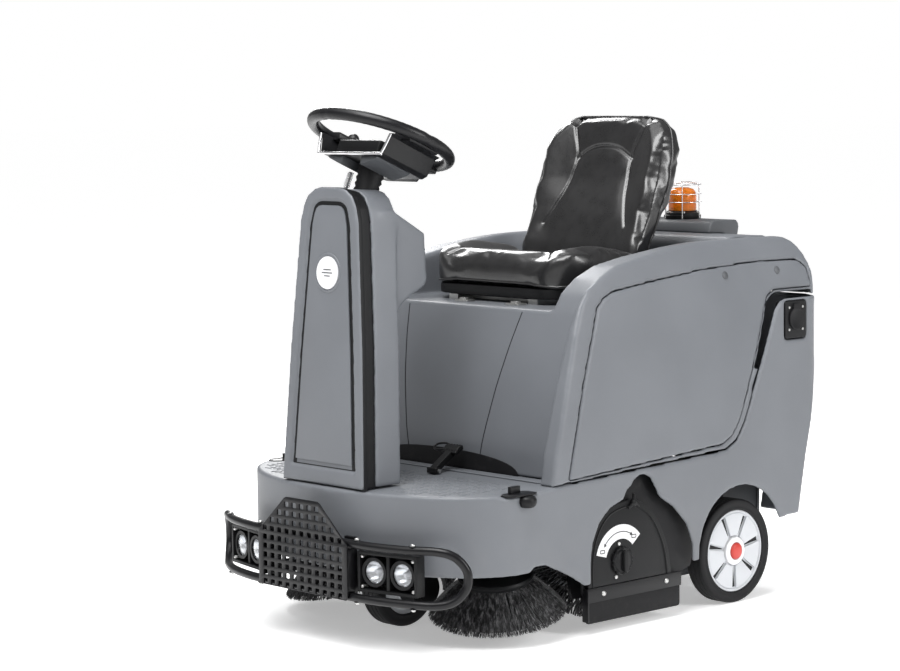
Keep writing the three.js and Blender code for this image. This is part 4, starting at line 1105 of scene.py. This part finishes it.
# ------------------------------------------------------------------ brush doors and skirts
def brush_door(name, side):
    arch = [(-0.166, 0.108), (-0.166, 0.168), (-0.157, 0.213), (-0.137, 0.251), (-0.103, 0.28), (-0.06, 0.292),
            (-0.016, 0.293), (0.02, 0.28), (0.052, 0.254), (0.08, 0.212), (0.1, 0.165), (0.11, 0.108)]
    smooth = [(p.x, p.y) for p in spline([Vector((u, v, 0)) for u, v in arch], 40)]

    def flat(outline, low, high):
        return flipped(slab(outline, low, high, "X"), side)

    piece_from("door_" + name, *flat(smooth, 0.3982, 0.4028), BLACK, "chassis", ["brush_door_" + name], bevel=0.0016)
    rib_route = [Vector((0.403 * side, -0.028 + (u + 0.028) * 0.9, 0.108 + (v - 0.108) * 0.93)) for u, v in smooth]
    piece_from("door_rib_" + name, *tube(rib_route, 0.0022, 8), BLACK, "chassis", sharp=80)

    hub = (-0.06, 0.159)
    ring = arc(*hub, 0.083, 40, 165, 26) + arc(*hub, 0.05, 165, 40, 20)
    piece_from("door_label_" + name, *flat(ring, 0.4028, 0.4036), WHITE, "chassis", bevel=0.0002)
    marks = [arc(*hub, 0.0675, 62, 140, 20) + arc(*hub, 0.0655, 140, 62, 20)]
    for turn, tilt in ((140, 1), (62, -1)):
        a = math.radians(turn)
        tip = math.radians(turn + 7 * tilt)
        marks.append([(hub[0] + 0.0712 * math.cos(a), hub[1] + 0.0712 * math.sin(a)),
                      (hub[0] + 0.0665 * math.cos(tip), hub[1] + 0.0665 * math.sin(tip)),
                      (hub[0] + 0.0618 * math.cos(a), hub[1] + 0.0618 * math.sin(a))])
    shapes = [flat(outline, 0.4034, 0.4039) for outline in marks]
    for turn in (50, 156):
        a = math.radians(turn)
        cu, cv = hub[0] + 0.0665 * math.cos(a), hub[1] + 0.0665 * math.sin(a)
        outer = round_rect(-0.008, 0.008, -0.0045, 0.0045, 0.003, 3)
        inner = round_rect(-0.0062, 0.0062, -0.0027, 0.0027, 0.002, 3)
        verts = [Vector((side * x, cu + u, cv + v)) for x in (0.4034, 0.4039) for loop in (outer, inner) for u,
                 v in loop]
        shapes.append((verts, frame_faces(len(outer))))
    piece_from("label_marks_" + name, *joined(shapes), BLACK, "chassis")

    # The knob: a notched disc with a grip across it, on the door's latch.
    centre = Vector((0, -0.06, 0.159))
    body = "knob_" + name
    disc = [(0, 0.4036), (0.03, 0.4036), (0.0325, 0.4052), (0.0325, 0.41), (0.03, 0.412), (0.026, 0.4108),
            (0.0235, 0.4108), (0.021, 0.4124), (0, 0.4124)]
    out = Vector((side, 0, 0))
    steps, rows = 72, len(disc)
    verts, faces = turned(disc, centre, out, steps)
    notched = []
    for k, point in enumerate(verts):
        away = Vector((0, point.y - centre.y, point.z - centre.z))
        if k // rows % 9 in (0, 1) and away.length > 0.029:
            point = point - away * 0.09
        notched.append(point)
    piece_from("knob_disc_" + name, notched, faces, BLACK, body, ["door_knob_" + name], sharp=40)
    bar = round_rect(-0.0665, -0.0535, 0.134, 0.184, 0.006, 5)
    piece_from("knob_bar_" + name, *flat(bar, 0.4118, 0.4225), BLACK, body, bevel=0.0025, segments=3)
    pin = tube([centre + out * 0.391, centre + out * 0.405], 0.0068, 20)
    piece_from("knob_pin_" + name, *pin, STEEL, body, sharp=40)
    studs = []
    for turn in (100, 245):
        a = math.radians(turn)
        spot = centre + Vector((0, 0.04 * math.cos(a), 0.04 * math.sin(a)))
        studs.append(turned([(0, 0.403), (0.0045, 0.403), (0.004, 0.4052), (0, 0.4058)], spot, out, 18))
    piece_from("door_studs_" + name, *joined(studs), STEEL, "chassis", sharp=50)

    star = Vector((0, -0.02, 0.288))
    spokes = []
    for i in range(3):
        a = math.radians(90 + 120 * i)
        tip = star + Vector((0, 0.021 * math.cos(a), 0.021 * math.sin(a)))
        spokes.append(tube([star + out * 0.4075, tip + out * 0.4065], lambda part: 0.0056 - 0.0026 * part, 10))
    spokes.append(turned([(0, 0.403), (0.0085, 0.403), (0.0085, 0.4095), (0.0065, 0.4115), (0, 0.4118)], star, out,
                         24))
    piece_from("door_star_" + name, *joined(spokes), BLACK, "chassis", sharp=50)

    strip = round_rect(-0.168, 0.144, 0.074, 0.107, 0.002, 2)
    flap = round_rect(-0.168, 0.144, 0.025, 0.08, 0.008, 4)
    piece_from("skirt_flap_" + name, *flat(flap, 0.3925, 0.3985), RUBBER, "chassis", ["side_skirt_" + name],
               bevel=0.0012)
    piece_from("skirt_strip_" + name, *flat(strip, 0.3985, 0.404), STEEL_BLACK, "chassis", bevel=0.001)
    end = round_rect(0.386, 0.4045, 0.03, 0.107, 0.002, 2)
    end_plate = slab(end, -0.17, -0.166, "Y")
    piece_from("skirt_end_" + name, *flipped(end_plate, side), STEEL_BLACK, "chassis", bevel=0.0008)
    liner = [(-0.174, 0.096), (-0.174, 0.3), (-0.06, 0.33), (0.0, 0.352), (0.034, 0.35), (0.074, 0.33),
             (0.132, 0.292), (0.178, 0.24), (0.196, 0.18), (0.197, 0.13), (0.19, 0.112), (0.14, 0.096)]
    piece_from("door_liner_" + name, *flat(liner, 0.384, 0.39), RUBBER, "chassis", bevel=0.001)
    screws = []
    for y in (-0.118, 0.092):
        screws.append(turned([(0, 0.4032), (0.0062, 0.4032), (0.0056, 0.4062), (0.0034, 0.4078), (0, 0.408)],
                             Vector((0, y, 0.091)), out, 24))
    piece_from("skirt_screws_" + name, *joined(screws), STEEL, "chassis", sharp=50)


# ------------------------------------------------------------------ deck, pedal and levers
def deck():
    """Raised lugs in a basket pattern over the deck, clear of the column and the levers."""
    lugs = []
    pitch = 0.03
    for i in range(-13, 14):
        for j in range(-9, 2):
            x, y = pitch * i, -0.3 + pitch * j
            inside = (x / 0.385) ** 2 + (max(NOSE["y"] - y, 0) / 0.205) ** 2 < 1
            column = abs(x) < 0.152 and y < -0.462
            lever = abs(x) > 0.352 and y > -0.45
            pedal_foot = abs(x - 0.06) < 0.032 and -0.352 < y < -0.285
            if not inside or column or lever or pedal_foot:
                continue
            for shift in (-0.0068, 0.0068):
                if (i + j) % 2:
                    outline = round_rect(x - 0.0105, x + 0.0105, y + shift - 0.0034, y + shift + 0.0034, 0.0018, 3)
                else:
                    outline = round_rect(x + shift - 0.0034, x + shift + 0.0034, y - 0.0105, y + 0.0105, 0.0018, 3)
                lugs.append(slab(outline, 0.3494, 0.352, "Z"))
    piece_from("deck_lugs", *joined(lugs), GREY, "chassis", bevel=0.0007, segments=1)
    steps = [math.pi * k / 24 for k in range(25)]
    outline = [(0.248 * math.cos(turn), 0.3552 + 0.044 * math.sin(turn) ** 0.8) for turn in steps]
    strip = slab(outline, -0.2355, -0.231, "Y")
    piece_from("kick_strip", *strip, RUBBER, "hood", bevel=0.0008)


def pedal():
    """A bent arm on a clevis, with a wire loop at its foot plate."""
    base = slab(round_rect(0.044, 0.076, -0.33, -0.312, 0.004, 3), 0.3545, 0.3665, "Z")
    arm = [(-0.328, 0.357), (-0.313, 0.357), (-0.252, 0.396), (-0.247, 0.405), (-0.257, 0.411), (-0.322, 0.368)]
    piece_from("pedal_arm", *joined([base, slab(arm, 0.05, 0.07, "X")]), BLACK, "pedal", ["drive_pedal"],
               bevel=0.0025,
               segments=3)
    plate = [(-0.276, 0.397), (-0.268, 0.391), (-0.247, 0.404), (-0.25, 0.414), (-0.262, 0.411)]
    piece_from("pedal_plate", *slab(plate, 0.036, 0.084, "X"), BLACK, "pedal", bevel=0.003, segments=3)
    loop = spline([(0.044, -0.268, 0.402), (0.02, -0.274, 0.4), (0.006, -0.268, 0.405), (0.01, -0.259, 0.411),
                   (0.03, -0.254, 0.414), (0.046, -0.254, 0.411)], 40)
    piece_from("pedal_loop", *tube(loop, 0.0026, 10), STEEL_BLACK, "pedal", sharp=80)
    pivot = tube([Vector((0.04, -0.32, 0.36)), Vector((0.08, -0.32, 0.36))], 0.0042, 18)
    piece_from("pedal_pivot", *pivot, STEEL, "pedal", sharp=50)
    ribs = []
    for k in range(5):
        x = 0.042 + 0.009 * k
        ribs.append(tube([Vector((x, -0.272, 0.4015)), Vector((x, -0.253, 0.4135))], 0.0014, 6))
    piece_from("pedal_ribs", *joined(ribs), RUBBER, "pedal", sharp=80)


def foot_lever(name, side):
    plate = [(0.376, -0.372), (0.38, -0.412), (0.392, -0.428), (0.41, -0.428), (0.422, -0.412), (0.424, -0.352),
             (0.414, -0.338), (0.386, -0.338), (0.376, -0.35)]
    body = "lever_" + name
    # The black lever plate lies where the deck edge has a shaded notch: its black is painted shade.
    piece_from("lever_plate_" + name, *flipped(slab(plate, 0.3462, 0.35, "Z"), side), STEEL_BLACK, body,
               ["lift_lever_" + name], bevel=0.0012)
    knob = [(0, 0.3455), (0.0135, 0.3455), (0.0185, 0.343), (0.0215, 0.338), (0.0215, 0.3315), (0.0195, 0.325),
            (0.0145, 0.3205), (0.008, 0.3192), (0, 0.319)]
    shape = turned(knob, (0, 0, 0), (0, 0, 1), 40)
    place = Matrix.Translation((side * 0.4175, -0.372, 0))
    piece_from("lever_knob_" + name, *placed(shape, place), BLACK, body, sharp=60)
    block = flipped(slab(round_rect(0.384, 0.394, -0.4, -0.368, 0.003, 3), 0.3498, 0.365, "Z"), side)
    piece_from("lever_block_" + name, *block, STEEL_BLACK, body, bevel=0.002, segments=3)


# ------------------------------------------------------------------ beacon, badge and small fittings
def beacon():
    centre = Vector((0, 0.6, 0))
    lens_side = []
    for k in range(9):
        height = 0.9186 + 0.0042 * k
        lens_side += [(0.0352, height), (0.0358, height + 0.0021)]
    dome = [(0.0352, 0.957), (0.033, 0.9665), (0.027, 0.973), (0.016, 0.9765), (0, 0.9775)]
    inner = [(0, 0.9745), (0.015, 0.9735), (0.025, 0.97), (0.0305, 0.964), (0.0325, 0.956), (0.0325, 0.9186)]
    piece_from("beacon_dome", *turned(lens_side + dome + inner, centre, (0, 0, 1), 64), AMBER, "hood",
               ["beacon_lens"],
               sharp=50)
    collar = [(0, 0.8975), (0.045, 0.8975), (0.047, 0.9), (0.047, 0.907), (0.044, 0.9085), (0.044, 0.9135),
              (0.0372, 0.918), (0.0306, 0.9182), (0.0306, 0.9255), (0, 0.9258)]
    piece_from("beacon_collar", *turned(collar, centre, (0, 0, 1), 64), BLACK, "hood", sharp=40)
    nuts = []
    for k in range(6):
        turn = 2 * math.pi * k / 6 + 0.3
        spot = centre + Vector((0.0405 * math.cos(turn), 0.0405 * math.sin(turn), 0))
        nuts.append(turned([(0, 0.913), (0.0036, 0.913), (0.0036, 0.9165), (0, 0.917)], spot, (0, 0, 1), 12))
    piece_from("beacon_screws", *joined(nuts), STEEL, "hood", sharp=40)
    riser = [(0.53, 0.869), (0.586, 0.8662), (0.613, 0.853), (0.634, 0.827), (0.645, 0.88), (0.643, 0.889),
             (0.636, 0.8978), (0.556, 0.8978), (0.547, 0.896), (0.5395, 0.89)]
    piece_from("beacon_riser", *slab(riser, -0.1495, 0.1495, "X"), DARK_GREY, "hood", ["beacon_base"], bevel=0.0045,
               segments=4)
    rings = []
    for radius, height in ((0.048, 0.94), (0.0475, 0.96), (0.047, 0.984)):
        ring = [centre + Vector((radius * math.cos(2 * math.pi * k / 64), radius * math.sin(2 * math.pi * k / 64),
                                 height))
                for k in range(64)]
        rings.append(tube(ring, 0.0013, 8, closed=True))
    for k in range(6):
        turn = 2 * math.pi * k / 6 + 0.2
        ray = Vector((math.cos(turn), math.sin(turn), 0))
        route = spline([centre + ray * 0.0488 + Vector((0, 0, 0.899)), centre + ray * 0.0486 + Vector((0, 0, 0.95)),
                        centre + ray * 0.0478 + Vector((0, 0, 0.98)), centre + ray * 0.04 + Vector((0, 0, 0.9885)),
                        centre + ray * 0.012 + Vector((0, 0, 0.9905)), centre + Vector((0, 0, 0.9905))], 36)
        rings.append(tube(route, 0.0013, 8))
    piece_from("beacon_wires", *joined(rings), CHROME, "hood", ["beacon_cage"], sharp=80)
    mirror = slab(round_rect(-0.016, 0.016, 0.9345, 0.96, 0.003, 3), 0.5985, 0.6, "Y")
    spindle = turned([(0, 0.9262), (0.008, 0.9262), (0.008, 0.935), (0.005, 0.936), (0, 0.9362)], centre, (0, 0, 1),
                     24)
    piece_from("beacon_mirror", *joined([mirror, spindle]), CHROME, "beacon_rotor", ["beacon_reflector"], sharp=40)


COLUMN_HALF = {"bottom": 0.139, "top": 0.093}


def column_place():
    """Turns a shape drawn on the column's upright front face, at y = 0, on to the leaned column."""
    return Matrix.Translation((0, -0.607, 0.3544)) @ Matrix.Rotation(math.radians(-3.1), 4, "X")


def drawn_in(points, amount):
    """An outline moved towards its inside, corner by corner. The points run anticlockwise."""
    moved = []
    for before, point, after in zip(points[-1:] + points[:-1], points, points[1:] + points[:1]):
        come, go = (Vector(point) - Vector(before)).normalized(), (Vector(after) - Vector(point)).normalized()
        inward = Vector((-come.y - go.y, come.x + go.x)).normalized()
        lean = max(inward.dot(Vector((-come.y, come.x))), 0.5)
        moved.append((point[0] + inward.x * amount / lean, point[1] + inward.y * amount / lean))
    return moved


def column_arch():
    half = [(COLUMN_HALF["bottom"], 0.0), (0.121, 0.3), (COLUMN_HALF["top"] + 0.004, 0.588), (0.088, 0.622), (0.074, 0.646),
            (0.052, 0.66), (0.03, 0.664)]
    return half + [(-x, z) for x, z in reversed(half)]


def border(outline, outer, inner, low, high, foot=None):
    """A flat frame between two insets of an outline, drawn facing forward."""
    rings = []
    for amount in (outer, inner):
        ring = drawn_in(outline, amount)
        rings.append([(x, max(z, foot) if foot is not None else z) for x, z in ring])
    verts = [Vector((x, y, z)) for y in (low, high) for ring in rings for x, z in ring]
    return verts, frame_faces(len(outline))


def badge_and_trim():
    place = column_place()
    arch = column_arch()
    # A black strip around the inner panel on the floor of the recess: painted shade on the recess walls.
    recess_shade = border(arch, 0.0256, 0.0405, 0.0058, 0.007, 0.034)
    piece_from("column_recess_shade", *placed(recess_shade, place), BLACK, "chassis")
    inner = [(x, max(z, 0.05)) for x, z in drawn_in(arch, 0.0395)]
    piece_from("column_inlay", *placed(slab(inner, 0.0028, 0.0069, "Y"), place), GREY, "chassis", bevel=0.0012)
    # A black lip over the rounded edge of the front cover: painted shade where the edge turns into the band.
    lip = border(arch, -0.0012, 0.002, 0.0052, 0.016)
    piece_from("column_edge_shade", *placed(lip, place), BLACK, "chassis", bevel=0.0004)
    seat_ring = turned([(0.037, 0.0028), (0.04, 0.0006), (0.044, 0.0014), (0.045, 0.003), (0.037, 0.0036)],
                       (0, 0, 0.474), (0, 1, 0), 72, closed=True)
    piece_from("badge_seat", *placed(seat_ring, place), GREY, "chassis", sharp=60)
    disc = turned([(0, 0.0002), (0.03, 0.0002), (0.0345, -0.0004), (0.0362, 0.0), (0.0368, 0.0014),
                   (0.0368, 0.0036), (0, 0.0036)], (0, 0, 0.474), (0, 1, 0), 72)
    piece_from("column_badge", *placed(disc, place), WHITE, "chassis", sharp=30)
    bars = []
    for height, half in ((0.481, 0.013), (0.474, 0.018), (0.467, 0.01)):
        bars.append(slab(round_rect(-half, half, height - 0.0012, height + 0.0012, 0.001, 2), -0.0002, 0.0004, "Y"))
    piece_from("badge_bars", *placed(joined(bars), place), DARK_GREY, "chassis")


def plugs_on(hood_panels):
    """Round plastic plugs over the panel fixings, seated on the panel's skin."""
    shapes = []
    for side in (1, -1):
        skin = hood_panels[side]
        for y, z in ((0.33, 0.786), (0.52, 0.788)):
            spot, normal, _, _ = skin.ray_cast(Vector((side * 0.6, y, z)), Vector((-side, 0, 0)))
            if spot is None:
                continue
            shapes.append(turned([(0, -0.001), (0.0098, -0.001), (0.0098, 0.0006), (0.0085, 0.0018), (0, 0.0022)],
                                 spot,
                                 normal, 32))
    piece_from("panel_plugs", *joined(shapes), DARK_GREY, "hood", sharp=50)


def seam_strips(hood_skin):
    """Two dark joint lines down the front of the seat box."""
    strips = []
    for side in (1, -1):
        route = []
        for k in range(60):
            z = 0.368 + (0.722 - 0.368) * k / 59
            x = side * (0.118 + (0.194 - 0.118) * (z - 0.372) / 0.36)
            spot, normal, _, _ = hood_skin.ray_cast(Vector((x, -0.45, z)), Vector((0, 1, 0)))
            if spot is None:
                continue
            route.append(spot + normal * 0.0001)
        strips.append(tube(route, 0.0011, 6))
    piece_from("box_seams", *joined(strips), RUBBER, "hood", sharp=80)


def charger():
    x = 0.4155
    frame_outline = round_rect(0.506, 0.584, 0.624, 0.714, 0.006, 4)
    piece_from("inlet_frame", *slab(frame_outline, 0.384, x, "X"), BLACK, "chassis", ["charger_socket"], bevel=0.002,
               segments=3)
    centre = (0, 0.545, 0.672)
    cap = [(0, 0.4158), (0.0265, 0.4158), (0.0272, 0.4172), (0.0272, 0.4196), (0.0258, 0.4208), (0.0215, 0.42),
           (0.019, 0.4186), (0, 0.4186)]
    piece_from("inlet_cap", *turned(cap, centre, (1, 0, 0), 56), RUBBER, "charger_cap", ["charger_cap"], sharp=40)
    grooves = []
    for k in range(4):
        turn = math.radians(45 + 90 * k)
        spot = Vector((0, 0.545 + 0.0345 * math.cos(turn) * 1.02, 0.672 + 0.0345 * math.sin(turn) * 1.1))
        grooves.append(turned([(0, 0.415), (0.0032, 0.415), (0.003, 0.4168), (0, 0.4172)], spot, (1, 0, 0), 16))
    piece_from("inlet_screws", *joined(grooves), STEEL, "chassis", sharp=50)
    tab = slab(round_rect(0.533, 0.557, 0.694, 0.706, 0.002, 3), 0.4164, 0.4205, "X")
    knuckle = tube([Vector((0.4186, 0.533, 0.706)), Vector((0.4186, 0.557, 0.706))], 0.002, 16)
    piece_from("inlet_tab", *joined([tab, knuckle]), RUBBER, "charger_cap", sharp=40)


def key_switch():
    joint = JOINTS["key_turn"]
    foot, axis = Vector(joint["pos_m"]), Vector(joint["axis"])
    stem = [(0, 0.0012), (0.0115, 0.0012), (0.0118, 0.006), (0.0105, 0.0085), (0.008, 0.009), (0.008, 0.024),
            (0.0068, 0.0258), (0, 0.026)]
    piece_from("key_knob", *turned(stem, foot, axis, 32), BLACK, "key", ["key_switch"], sharp=40)
    ring = [(0.0126, 0.001), (0.016, 0.001), (0.016, 0.0026), (0.0126, 0.003)]
    piece_from("key_ring", *turned(ring, foot, axis, 40, closed=True), STEEL, "chassis", sharp=40)


# ------------------------------------------------------------------ inside and underneath
SLOT_FINISH = {"body_grey": GREY, "dark_grey_plastic": DARK_GREY, "black_plastic": BLACK, "black_steel": STEEL_BLACK,
               "steel": STEEL, "rubber": RUBBER, "tyre_rubber": TYRE, "silver_plastic": SILVER, "seat_vinyl": VINYL,
               "bristle": BRISTLE, "clear_lens": CLEAR, "amber_lens": AMBER, "battery_case": CASE,
               "filter_paper": FILTER}


def paint_nodes():
    """Every node that still shows takes the finish of its material slot."""
    for subpart in frame["record"]["subparts"]:
        node = NODES[subpart["node"]]
        node.data.materials.clear()
        node.data.materials.append(SLOT_FINISH[subpart["material_slot"]].material)


# ------------------------------------------------------------------ the machine
camera()
studio()
lower_skin, hood_skin = shells()
panel_skins = {sign: surface_of(bpy.data.objects["shell_side_panel_" + name]) for name, sign in SIDES}
seam_strips(surface_of(hood_skin))
plugs_on(panel_skins)
for side_name, side_sign in SIDES:
    rear_wheel(side_name, side_sign)
    side_brush(side_name, side_sign)
    lamp(side_name, side_sign)
    brush_door(side_name, side_sign)
    foot_lever(side_name, side_sign)
front_wheel()
main_brush()
bumper()
guard()
deck()
pedal()
steering_wheel()
key_switch()
badge_and_trim()
charger()
beacon()
seat()
paint_nodes()
